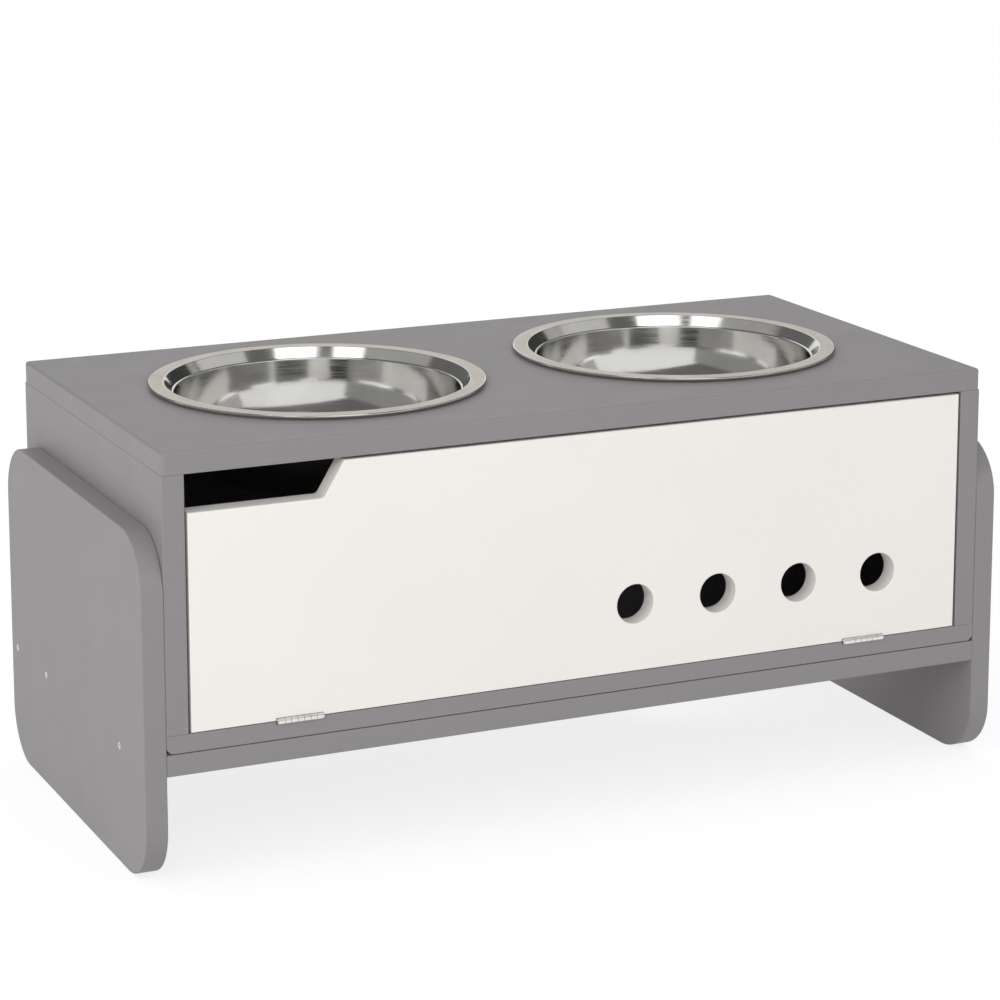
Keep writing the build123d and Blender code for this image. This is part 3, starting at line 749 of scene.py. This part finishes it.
def make_base_board():
    """Board between the leg panels that the cabinet stands on."""
    sizes = board_sizes()
    low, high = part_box("base_board")
    board = block("carrying_board", low, high)
    round_edges(board, sizes.arris, 4, on_plane(Y, low.y), on_plane(Z, low.z))
    gap_low = (low.x - MM, low.y - MM, high.z - sizes.shadow_gap)
    combine(board, block("gap", gap_low, (high.x + MM, low.y + sizes.shadow_depth, high.z + MM)))
    round_edges(board, sizes.fine_arris / 2, 2, is_sharp)
    cut_for(board, "base_screws", "leg_screws_left", "leg_screws_right")
    place_piece(board, "base_board")


def make_leg_boards():
    """Leg panels: four large rounded corners, softened all round on both faces."""
    sizes = board_sizes()
    for name, _ in SIDES:
        low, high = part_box(f"leg_panel_{name}")
        board = block(f"leg_board_{name}", low, high)
        round_edges(board, sizes.leg_corner, 24, runs_along(X))
        for level in (low.x, high.x):
            round_edges(board, sizes.arris, 4, on_plane(X, level))
        cut_for(board, f"leg_screws_{name}", f"brace_screws_{name}")
        place_piece(board, f"leg_panel_{name}")


# ---- door ----
def notch_tool():
    """Tool for the finger notch, with a leaning end and a rounded corner."""
    sizes = board_sizes()
    end = DOOR_LOW.x + sizes.notch_length
    sill = DOOR_HIGH.z - sizes.notch_depth
    low = (DOOR_LOW.x - MM, DOOR_LOW.y - MM, sill)
    tool = block("notch", low, (end, DOOR_HIGH.y + MM, DOOR_HIGH.z))
    with editing(tool):
        select(tool, "EDGE", on_plane(X, end), on_plane(Z, DOOR_HIGH.z))
        bpy.ops.transform.translate(value=(sizes.notch_slant, 0, 0))
        select(tool, "FACE", on_plane(Z, DOOR_HIGH.z))
        lean = Vector((sizes.notch_slant, 0, sizes.notch_depth)) * (MM / sizes.notch_depth)
        bpy.ops.mesh.extrude_region_move(TRANSFORM_OT_translate={"value": lean})
        select(tool, "EDGE", on_plane(X, end), on_plane(Z, sill))
        bpy.ops.mesh.bevel(offset=sizes.notch_fillet, segments=6, affect="EDGES")
    return tool


def make_door():
    """Drop-down door: finger notch, ventilation holes, softened front and rear, hinge seats."""
    sizes = board_sizes()
    board = block("drop_door", DOOR_LOW, DOOR_HIGH)
    combine(board, notch_tool())
    for index in range(sizes.peep_count):
        x = DOOR_HIGH.x - sizes.peep_end - index * sizes.peep_pitch
        z = DOOR_LOW.z + sizes.peep_height
        start, end = (x, DOOR_LOW.y - MM, z), (x, DOOR_HIGH.y + MM, z)
        combine(board, bar("peep_hole", sizes.peep_diameter / 2, start, end, sides=96))
    for level in (DOOR_LOW.y, DOOR_HIGH.y):
        round_edges(board, sizes.arris, 4, on_plane(Y, level), is_sharp)
    cut_hinge_seats(board, "door", DOOR_LOW.z, UP)
    cut_for(board, "strike_screw")
    place_piece(board, "door")


# ---- bowls ----
def bowl_outline():
    """Inside of the bowl from the middle of its floor out to the lower edge of its brim."""
    sizes = bowl_sizes()
    low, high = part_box("bowl_right")
    brim, floor = high.z, low.z + sizes.sheet
    outer = (high.x - low.x) / 2
    step = brim - sizes.step_depth
    return rounded(
        [
            (0, floor, 0),
            (sizes.floor, floor, sizes.floor_curve),
            (sizes.waist, brim - sizes.waist_depth, sizes.wall_curve),
            (sizes.step - sizes.step_width, step, sizes.step_round),
            (sizes.step, step, sizes.step_crease),
            (sizes.throat, brim, sizes.throat_crease),
            (outer, brim, sizes.brim_curl),
            (outer, brim - sizes.lip_drop, sizes.brim_curl / 2),
            (outer - sizes.lip_tuck, DECK, 0),
        ]
    )


def make_bowls():
    """Two pressed steel bowls: satin brim, polished inside, plain drawn outside."""
    sizes = bowl_sizes()
    first = turned("bowl", bowl_outline(), steps=256)
    with editing(first):
        floor = min(vertex.co.z for vertex in first.data.vertices)
        select(first, "FACE", on_plane(Z, floor))
        mesh = bmesh.from_edit_mesh(first.data)
        upside_down = sum(face.normal.z for face in mesh.faces if face.select) < 0
        if upside_down:
            bpy.ops.mesh.select_all(action="SELECT")
            bpy.ops.mesh.flip_normals()
    for maker in (polished_bowl, satin_brim, drawn_steel):
        first.data.materials.append(finish_of(maker))
    brim_start = sizes.throat + sizes.throat_crease / 2
    brim_end = max(vertex.co.x for vertex in first.data.vertices) - sizes.brim_curl
    with editing(first):
        select(first, "FACE", lambda face: brim_start < face.calc_center_median().xy.length < brim_end)
        first.active_material_index = 1
        bpy.ops.object.material_slot_assign()
    apply_modifier(
        first, "SOLIDIFY", thickness=sizes.sheet, offset=-1, use_even_offset=True, material_offset=2
    )
    for name, _ in SIDES:
        low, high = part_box(f"bowl_{name}")
        axis = (low + high) / 2
        bowl = copy_of(first, f"steel_bowl_{name}", move=(axis.x, axis.y, 0))
        place_piece(bowl, f"bowl_{name}", makers=(polished_bowl, satin_brim, drawn_steel))
    bpy.data.objects.remove(first)


# ---- hinges ----
LEAF_ARRIS, KNUCKLE_ARRIS = 0.15 * MM, 0.2 * MM
DOME_SHARE = 0.45  # how much of a pin head's height its rim leaves to the dome


def knuckle_spans(name):
    """Start and end of each knuckle along the pin."""
    sizes = hardware_sizes()
    low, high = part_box(f"hinge_case_leaf_{name}")
    pitch = (high.x - low.x + sizes.knuckle_gap) / sizes.knuckles
    return [(low.x + i * pitch, low.x + (i + 1) * pitch - sizes.knuckle_gap) for i in range(sizes.knuckles)]


def hinge_leaf(leaf_kind, own, level, direction):
    """Leaf of the left hinge: a plate with every second knuckle, a pin bore and screw holes."""
    sizes = hardware_sizes()
    pin = hinge_middle("left")
    low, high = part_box(f"hinge_{leaf_kind}_leaf_left")
    near, far = sorted((level, level + direction.z * sizes.leaf))
    plate = block("leaf", (low.x, pin.y, near), (high.x, high.y, far))
    round_edges(plate, LEAF_ARRIS, 2, is_sharp)
    for index, (start, end) in enumerate(knuckle_spans("left")):
        if index % 2 == own:
            knuckle = bar("knuckle", sizes.barrel, (start, pin.y, pin.z), (end, pin.y, pin.z), sides=48)
            round_edges(knuckle, KNUCKLE_ARRIS, 3, is_sharp)
            combine(plate, knuckle, "UNION")
        else:
            ends = [(x, pin.y, pin.z) for x in (start - sizes.knuckle_gap, end + sizes.knuckle_gap)]
            combine(plate, bar("gap", sizes.barrel + sizes.relief, *ends, sides=48))
    ends = [(x, pin.y, pin.z) for x in (low.x - MM, high.x + MM)]
    combine(plate, bar("bore", sizes.pin + sizes.running_fit, *ends, sides=32))
    return cut_for(plate, f"hinge_{leaf_kind}_screws_left")


def hinge_pin():
    """Pin of the left hinge with a domed head riveted on both ends."""
    sizes = hardware_sizes()
    low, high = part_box("hinge_pin_left")
    pin = hinge_middle("left")
    head = (high.z - low.z) / 2
    total = high.x - low.x
    dome = [(0, 0, 0), (head, 0, DOME_SHARE * sizes.pin_head), (head, sizes.pin_head, 0)]
    start = rounded([*dome, (sizes.pin, sizes.pin_head, 0)])
    outline = start + [(radius, total - distance) for radius, distance in reversed(start)]
    return turned("pin", outline, (low.x, pin.y, pin.z), (1, 0, 0), steps=32)


def make_hinges():
    """Two butt hinges, the right one a copy of the left."""
    shift = hinge_middle("right") - hinge_middle("left")
    masters = {
        "case_leaf": hinge_leaf("case", 0, CAVITY_FLOOR, DOWN),
        "door_leaf": hinge_leaf("door", 1, DOOR_LOW.z, UP),
        "pin": hinge_pin(),
    }
    for kind, master in masters.items():
        for name, side in SIDES:
            copy = copy_of(master, f"hinge_{kind}_finished_{name}", move=shift if side > 0 else (0, 0, 0))
            place_piece(copy, f"hinge_{kind}_{name}")
        bpy.data.objects.remove(master)


# ---- screws ----
# Shares of a screw head's radius
RIM_SHARE, WING_REACH, WING_WIDTH, RECESS_DEPTH = 0.1, 0.62, 0.13, 0.55
RECESS_TAPER = 0.55  # width of a recess at its bottom, as a share of that at its top
SHANK_SHARE = {"leg": 0.64} | dict.fromkeys(("base", "side", "brace"), 0.5)
SHANK_SHARE |= dict.fromkeys(("hinge", "catch", "strike"), 0.54)


def countersunk_screw(head, shank, overall):
    """Countersunk screw with a crossed recess, head up at the origin and its end below."""
    rim = RIM_SHARE * head
    outline = [
        (0, 0),
        (head - rim / 2, 0),
        (head, -rim),
        (shank, shank - head - rim),
        (shank, shank - overall),
        (0, -overall),
    ]
    body = turned("screw", outline, steps=48)
    wing, width, depth = WING_REACH * head, WING_WIDTH * head, RECESS_DEPTH * head
    for half_x, half_y in ((wing, width), (width, wing)):
        tool = block("recess", (-half_x, -half_y, -depth), (half_x, half_y, MM))
        with editing(tool):
            select(tool, "FACE", on_plane(Z, -depth))
            bpy.ops.transform.resize(value=(RECESS_TAPER, RECESS_TAPER, 1), center_override=(0, 0, -depth))
        combine(body, tool)
    return body


def make_screws():
    """Every screw, modelled once for each node and copied to its places."""
    toward = {"base_screws": UP, "catch_screws": UP, "strike_screw": Vector((0, -1, 0))}
    for name, side in SIDES:
        toward[f"leg_screws_{name}"] = Vector((-side, 0, 0))
        toward[f"brace_screws_{name}"] = Vector((side, 0, 0))
        toward[f"side_screws_{name}"] = UP
        toward[f"hinge_case_screws_{name}"] = DOWN
        toward[f"hinge_door_screws_{name}"] = UP
    turns = random.Random(5)
    for node, direction in toward.items():
        boxes = solids_in(node)
        axis = max((X, Y, Z), key=lambda a: abs(direction[a]))
        across = (axis + 1) % 3
        low, high = boxes[0]
        head = (high[across] - low[across]) / 2
        shank = SHANK_SHARE[node.split("_")[0]] * head
        master = countersunk_screw(head, shank, high[axis] - low[axis])
        copies = []
        for low, high in boxes:
            place = (low + high) / 2
            place[axis] = low[axis] if direction[axis] > 0 else high[axis]
            turn = (-direction).to_track_quat("Z", "Y")
            turn = turn @ Matrix.Rotation(turns.uniform(0, math.pi / 2), 3, "Z").to_quaternion()
            copies.append(copy_of(master, "screw_copy", move=place, turn=turn.to_euler()))
        bpy.data.objects.remove(master)
        place_piece(joined(f"{node}_finished", copies), node)


# ---- knock-down fittings and catch ----
CAM_ARRIS, CATCH_ARRIS, EAR_CORNER, EAR_ARRIS = 0.5 * MM, 0.8 * MM, 3 * MM, 0.4 * MM
STRIKE_CORNER, STRIKE_ARRIS = 1.5 * MM, 0.2 * MM


def make_fittings():
    """Cams with their driver slots; bolts and dowels keep their shape."""
    sizes = hardware_sizes()
    half, width, depth = sizes.cam_slot_length / 2, sizes.cam_slot_width / 2, sizes.cam_slot_depth
    for name, side in SIDES:
        node = f"cam_discs_{name}"
        cams = []
        for low, high in solids_in(node):
            middle = (low + high) / 2
            inner, outer = (low.x, high.x) if side > 0 else (high.x, low.x)
            start = Vector((inner, middle.y, middle.z))
            end = Vector((outer, middle.y, middle.z))
            cam = bar("cam", (high.y - low.y) / 2, start, end)
            round_edges(cam, CAM_ARRIS, 3, is_sharp)
            for a, b in ((half, width), (width, half)):
                tool = block("slot", start - Vector((depth, a, b)), start + Vector((depth, a, b)))
                combine(cam, tool)
            cams.append(cam)
        disc = joined(f"{node}_finished", cams)
        cut_for(disc, f"cam_bolts_{name}")
        place_piece(disc, node)
        finish_nodes(f"cam_bolts_{name}", f"dowels_{name}")


def make_catch():
    """Magnetic catch: housing with two ears, and the strike plate on the door."""
    sizes = hardware_sizes()
    low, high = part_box("catch_housing")
    body_low = (low.x + sizes.ear_length, low.y, low.z)
    body = block("catch_body", body_low, (high.x - sizes.ear_length, high.y, high.z))
    round_edges(body, CATCH_ARRIS, 4, is_sharp)
    ears = block("ears", (low.x, low.y, high.z - sizes.ear_thickness), high)
    round_edges(ears, EAR_CORNER, 6, runs_along(Z))
    round_edges(ears, EAR_ARRIS, 3, is_sharp)
    combine(body, ears, "UNION")
    cut_for(body, "catch_pole_plates", "catch_magnet", "catch_screws")
    place_piece(body, "catch_housing")
    low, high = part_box("strike_plate")
    plate = block("strike", low, high)
    round_edges(plate, STRIKE_CORNER, 5, runs_along(Y))
    round_edges(plate, STRIKE_ARRIS, 2, is_sharp)
    cut_for(plate, "strike_screw")
    place_piece(plate, "strike_plate")
    finish_nodes("catch_magnet", "catch_pole_plates")


# ---- studio ----
SEEN_RAYS = ("Is Camera Ray", "Is Glossy Ray", "Is Transmission Ray")
WHITE = (1, 1, 1, 1)
AMBIENT = 0.82  # how much of the white surroundings lights the feeder
FLOOR_SIZE = 30
FLOOR_BOUNCE = (0.9, 0.9, 0.9, 1)  # what lights the feeder from below
FLOOR_SHADED = (0.25, 0.25, 0.25, 1)  # what shows the feeder's shadow
FLOOR_GLOW = 0.8  # what lifts the lit floor to white
FEEDER_MIDDLE = (0, 0, 0.2)


class Lamp(NamedTuple):
    """Square soft lamp, what it shines at, and how many degrees wide its beam is."""

    place: tuple
    aim: tuple
    size: float
    watts: float
    beam: float = 180


class Card(NamedTuple):
    """Card that only shiny surfaces see, its brightness, the way it faces and its turn in degrees."""

    place: tuple
    width: float
    height: float
    level: float
    facing: tuple = DOWN
    turn: float = 0


LAMPS = {
    "key_lamp": Lamp((-2.0, -0.7, 1.0), FEEDER_MIDDLE, size=1.4, watts=9),
    "fill_lamp": Lamp((-1.3, -2.6, 1.9), FEEDER_MIDDLE, size=1.2, watts=15),
    "cabinet_lamp": Lamp((0.1, 0.03, 0.262), (0.1, 0.03, 0.1), size=0.16, watts=0.045),
    "under_lamp": Lamp((0.08, 0.03, 0.045), (0.3, 0.06, 0.06), size=0.05, watts=0.036, beam=80),
}
# The cards give the steel its dark shapes, and the window cards its bright ones
CARDS = {
    "ceiling_card": Card((0, 0.25, 3.0), 9.0, 7.5, level=0.15),
    "front_card": Card((0, -4, 1.5), 9.0, 3.0, level=0.95, facing=(0, 1, 0)),
    "left_card": Card((-4.5, -0.5, 1.5), 7.0, 3.0, level=0.3, facing=(9, 1, 0)),
    "right_card": Card((4.5, -1.2, 1.5), 5.6, 3.0, level=0.45, facing=(-1, 0, 0)),
    "right_rear_card": Card((4.5, 2.9, 1.5), 2.6, 3.0, level=0.05, facing=(-1, 0, 0)),
    "rear_left_card": Card((-2.1, 4.0, 1.5), 4.8, 3.0, level=0.15, facing=(0, -1, 0)),
    "rear_right_card": Card((4.1, 4.0, 1.5), 1.7, 3.0, level=0.05, facing=(0, -1, 0)),
    "first_window_card": Card((0.03, -1.38, 2.9), 1.15, 1.5, level=2.2, turn=8),
    "second_window_card": Card((-1.38, -0.7, 2.9), 0.95, 1.5, level=1.8, turn=-41),
    "third_window_card": Card((2.95, -0.4, 2.9), 3.0, 1.7, level=0.65, turn=22),
    "fourth_window_card": Card((-2.5, 1.2, 2.9), 3.2, 1.5, level=0.42, turn=105),
    "fifth_window_card": Card((0.1, 0.6, 2.9), 1.1, 0.5, level=2.0),
}
CAMERA_PLACE = (-0.91698, -2.01803, 0.76496)
CAMERA_DIP, CAMERA_TURN = 11.07, 24.44  # degrees below level, and to the right of straight ahead
CAMERA_LENS, CAMERA_SENSOR, CAMERA_SHIFT = 116.36, 36, -0.2


def seen_ray(tree):
    """One for rays from the camera and for rays that a shiny or clear surface sends, else nought."""
    path = add_node(tree, "ShaderNodeLightPath")
    total = path.outputs[SEEN_RAYS[0]]
    for name in SEEN_RAYS[1:]:
        inputs = {0: total, 1: path.outputs[name]}
        total = add_node(tree, "ShaderNodeMath", inputs, operation="MAXIMUM").outputs[0]
    return total


def make_world():
    """White surroundings, which light the feeder a little less than they show."""
    world = bpy.data.worlds.new("studio")
    world.use_nodes = True
    tree = world.node_tree
    inputs = {"Value": seen_ray(tree), "To Min": AMBIENT, "To Max": 1.0}
    strength = add_node(tree, "ShaderNodeMapRange", inputs).outputs["Result"]
    background = tree.nodes["Background"]
    background.inputs["Color"].default_value = WHITE
    tree.links.new(strength, background.inputs["Strength"])
    bpy.context.scene.world = world


def studio_material(name):
    """New material without any nodes, and its tree."""
    material = bpy.data.materials.new(name)
    material.use_nodes = True
    material.node_tree.nodes.clear()
    return material, material.node_tree


def make_floor():
    """Wide pale floor that keeps the feeder's shadow and otherwise shows white."""
    bpy.ops.object.select_all(action="DESELECT")
    bpy.ops.mesh.primitive_plane_add(size=FLOOR_SIZE)
    floor = bpy.context.object
    floor.name = "studio_floor"
    material, tree = studio_material("pale_paper_floor")
    bounced = add_node(tree, "ShaderNodeBsdfDiffuse", {"Color": FLOOR_BOUNCE}).outputs[0]
    shaded = add_node(tree, "ShaderNodeBsdfDiffuse", {"Color": FLOOR_SHADED}).outputs[0]
    glow = add_node(tree, "ShaderNodeEmission", {"Color": WHITE, "Strength": FLOOR_GLOW}).outputs[0]
    seen = add_node(tree, "ShaderNodeAddShader", {0: shaded, 1: glow}).outputs[0]
    mixed = add_node(tree, "ShaderNodeMixShader", {0: seen_ray(tree), 1: bounced, 2: seen}).outputs[0]
    add_node(tree, "ShaderNodeOutputMaterial", {"Surface": mixed})
    floor.data.materials.append(material)


def add_to_scene(name, data, place, turn):
    """Object at a place with a turn, for a lamp or a camera."""
    holder = bpy.data.objects.new(name, data)
    bpy.context.scene.collection.objects.link(holder)
    holder.location = place
    holder.rotation_euler = turn
    return holder


def add_lamp(name, lamp):
    """Lamp that lights the feeder and isn't seen, neither directly nor in the steel."""
    light = bpy.data.lights.new(name, "AREA")
    light.size = lamp.size
    light.energy = lamp.watts
    light.spread = math.radians(lamp.beam)
    run = Vector(lamp.aim) - Vector(lamp.place)
    holder = add_to_scene(name, light, lamp.place, run.to_track_quat("-Z", "Y").to_euler())
    holder.visible_camera = False
    holder.visible_glossy = False


def add_card(name, card):
    """Glowing card that lights nothing and that only shiny surfaces see."""
    bpy.ops.object.select_all(action="DESELECT")
    turn = Vector(card.facing).to_track_quat("Z", "Y").to_euler()
    bpy.ops.mesh.primitive_plane_add(size=1, location=card.place, rotation=turn)
    sheet = bpy.context.object
    sheet.name = name
    sheet.scale = (card.width, card.height, 1)
    sheet.rotation_euler.z += math.radians(card.turn)
    material, tree = studio_material(f"{name}_paper")
    glow = add_node(tree, "ShaderNodeEmission", {"Color": WHITE, "Strength": card.level}).outputs[0]
    add_node(tree, "ShaderNodeOutputMaterial", {"Surface": glow})
    sheet.data.materials.append(material)
    sheet.visible_camera = False
    sheet.visible_diffuse = False
    sheet.visible_transmission = False
    sheet.visible_shadow = False


def add_camera():
    """Camera to the left in front of the feeder and above it."""
    camera = bpy.data.cameras.new("camera")
    camera.lens = CAMERA_LENS
    camera.sensor_width = CAMERA_SENSOR
    camera.shift_y = CAMERA_SHIFT
    camera.clip_end = 100
    turn = (math.radians(90 - CAMERA_DIP), 0, math.radians(-CAMERA_TURN))
    bpy.context.scene.camera = add_to_scene("camera", camera, CAMERA_PLACE, turn)


def make_studio():
    """Pale floor, white surroundings, soft lamps, cards for the steel, and the camera."""
    bpy.context.scene.view_settings.view_transform = "Standard"
    make_world()
    make_floor()
    for name, lamp in LAMPS.items():
        add_lamp(name, lamp)
    for name, card in CARDS.items():
        add_card(name, card)
    add_camera()


# ---- operators, panel and registration ----
class FEEDER_OT_top_board(bpy.types.Operator):
    """Make the top board with its two bowl holes"""

    bl_idname = "feeder.top_board"
    bl_label = "Top Board"

    def execute(self, context):
        make_top_board()
        return {"FINISHED"}


class FEEDER_OT_side_boards(bpy.types.Operator):
    """Make both side boards"""

    bl_idname = "feeder.side_boards"
    bl_label = "Side Boards"

    def execute(self, context):
        make_side_boards()
        return {"FINISHED"}


class FEEDER_OT_bottom_board(bpy.types.Operator):
    """Make the cabinet's floor"""

    bl_idname = "feeder.bottom_board"
    bl_label = "Bottom Board"

    def execute(self, context):
        make_bottom_board()
        return {"FINISHED"}


class FEEDER_OT_base_board(bpy.types.Operator):
    """Make the carrying board between the leg panels"""

    bl_idname = "feeder.base_board"
    bl_label = "Base Board"

    def execute(self, context):
        make_base_board()
        return {"FINISHED"}


class FEEDER_OT_leg_boards(bpy.types.Operator):
    """Make both leg panels"""

    bl_idname = "feeder.leg_boards"
    bl_label = "Leg Panels"

    def execute(self, context):
        make_leg_boards()
        return {"FINISHED"}


class FEEDER_OT_back_panel(bpy.types.Operator):
    """Finish the back panel"""

    bl_idname = "feeder.back_panel"
    bl_label = "Back Panel"

    def execute(self, context):
        finish_nodes("back_panel")
        return {"FINISHED"}


class FEEDER_OT_door(bpy.types.Operator):
    """Make the drop-down door"""

    bl_idname = "feeder.door"
    bl_label = "Door"

    def execute(self, context):
        make_door()
        return {"FINISHED"}


class FEEDER_OT_bowls(bpy.types.Operator):
    """Make both steel bowls"""

    bl_idname = "feeder.bowls"
    bl_label = "Bowls"

    def execute(self, context):
        make_bowls()
        return {"FINISHED"}


class FEEDER_OT_hinges(bpy.types.Operator):
    """Make both butt hinges"""

    bl_idname = "feeder.hinges"
    bl_label = "Hinges"

    def execute(self, context):
        make_hinges()
        return {"FINISHED"}


class FEEDER_OT_screws(bpy.types.Operator):
    """Make every screw"""

    bl_idname = "feeder.screws"
    bl_label = "Screws"

    def execute(self, context):
        make_screws()
        return {"FINISHED"}


class FEEDER_OT_fittings(bpy.types.Operator):
    """Make the cams and finish their bolts and dowels"""

    bl_idname = "feeder.fittings"
    bl_label = "Knock-down Fittings"

    def execute(self, context):
        make_fittings()
        return {"FINISHED"}


class FEEDER_OT_catch(bpy.types.Operator):
    """Make the magnetic catch and its strike plate"""

    bl_idname = "feeder.catch"
    bl_label = "Magnetic Catch"

    def execute(self, context):
        make_catch()
        return {"FINISHED"}


class FEEDER_OT_studio(bpy.types.Operator):
    """Lay the floor and set the lamps, the cards and the camera"""

    bl_idname = "feeder.studio"
    bl_label = "Studio"

    def execute(self, context):
        make_studio()
        return {"FINISHED"}


PIECE_OPERATORS = (
    FEEDER_OT_top_board,
    FEEDER_OT_side_boards,
    FEEDER_OT_bottom_board,
    FEEDER_OT_base_board,
    FEEDER_OT_leg_boards,
    FEEDER_OT_back_panel,
    FEEDER_OT_door,
    FEEDER_OT_bowls,
    FEEDER_OT_hinges,
    FEEDER_OT_screws,
    FEEDER_OT_fittings,
    FEEDER_OT_catch,
    FEEDER_OT_studio,
)
SETTINGS = {
    "feeder_boards": FeederBoardSizes,
    "feeder_bowls": FeederBowlSizes,
    "feeder_hardware": FeederHardwareSizes,
    "feeder_colours": FeederColours,
}


class FEEDER_PT_panel(bpy.types.Panel):
    """Buttons for the pieces, and their sizes and colours"""

    bl_idname = "FEEDER_PT_panel"
    bl_label = "Elevated Dog Feeder"
    bl_space_type = "VIEW_3D"
    bl_region_type = "UI"
    bl_category = "Feeder"

    def draw(self, context):
        for operator in PIECE_OPERATORS:
            self.layout.operator(operator.bl_idname)
        for name, group in SETTINGS.items():
            box = self.layout.box()
            for prop in group.__annotations__:
                box.prop(getattr(context.scene, name), prop)


CLASSES = (*SETTINGS.values(), *PIECE_OPERATORS, FEEDER_PT_panel)


def register():
    """Register the classes and give every scene its settings."""
    for item in CLASSES:
        bpy.utils.register_class(item)
    for name, group in SETTINGS.items():
        setattr(bpy.types.Scene, name, bpy.props.PointerProperty(type=group))


def unregister():
    """Take the settings and the classes away again."""
    for name in SETTINGS:
        delattr(bpy.types.Scene, name)
    for item in reversed(CLASSES):
        bpy.utils.unregister_class(item)


def main():
    """Make every piece and the studio."""
    register()
    for operator in PIECE_OPERATORS:
        group, name = operator.bl_idname.split(".")
        getattr(getattr(bpy.ops, group), name)()


if __name__ == "__main__":
    main()
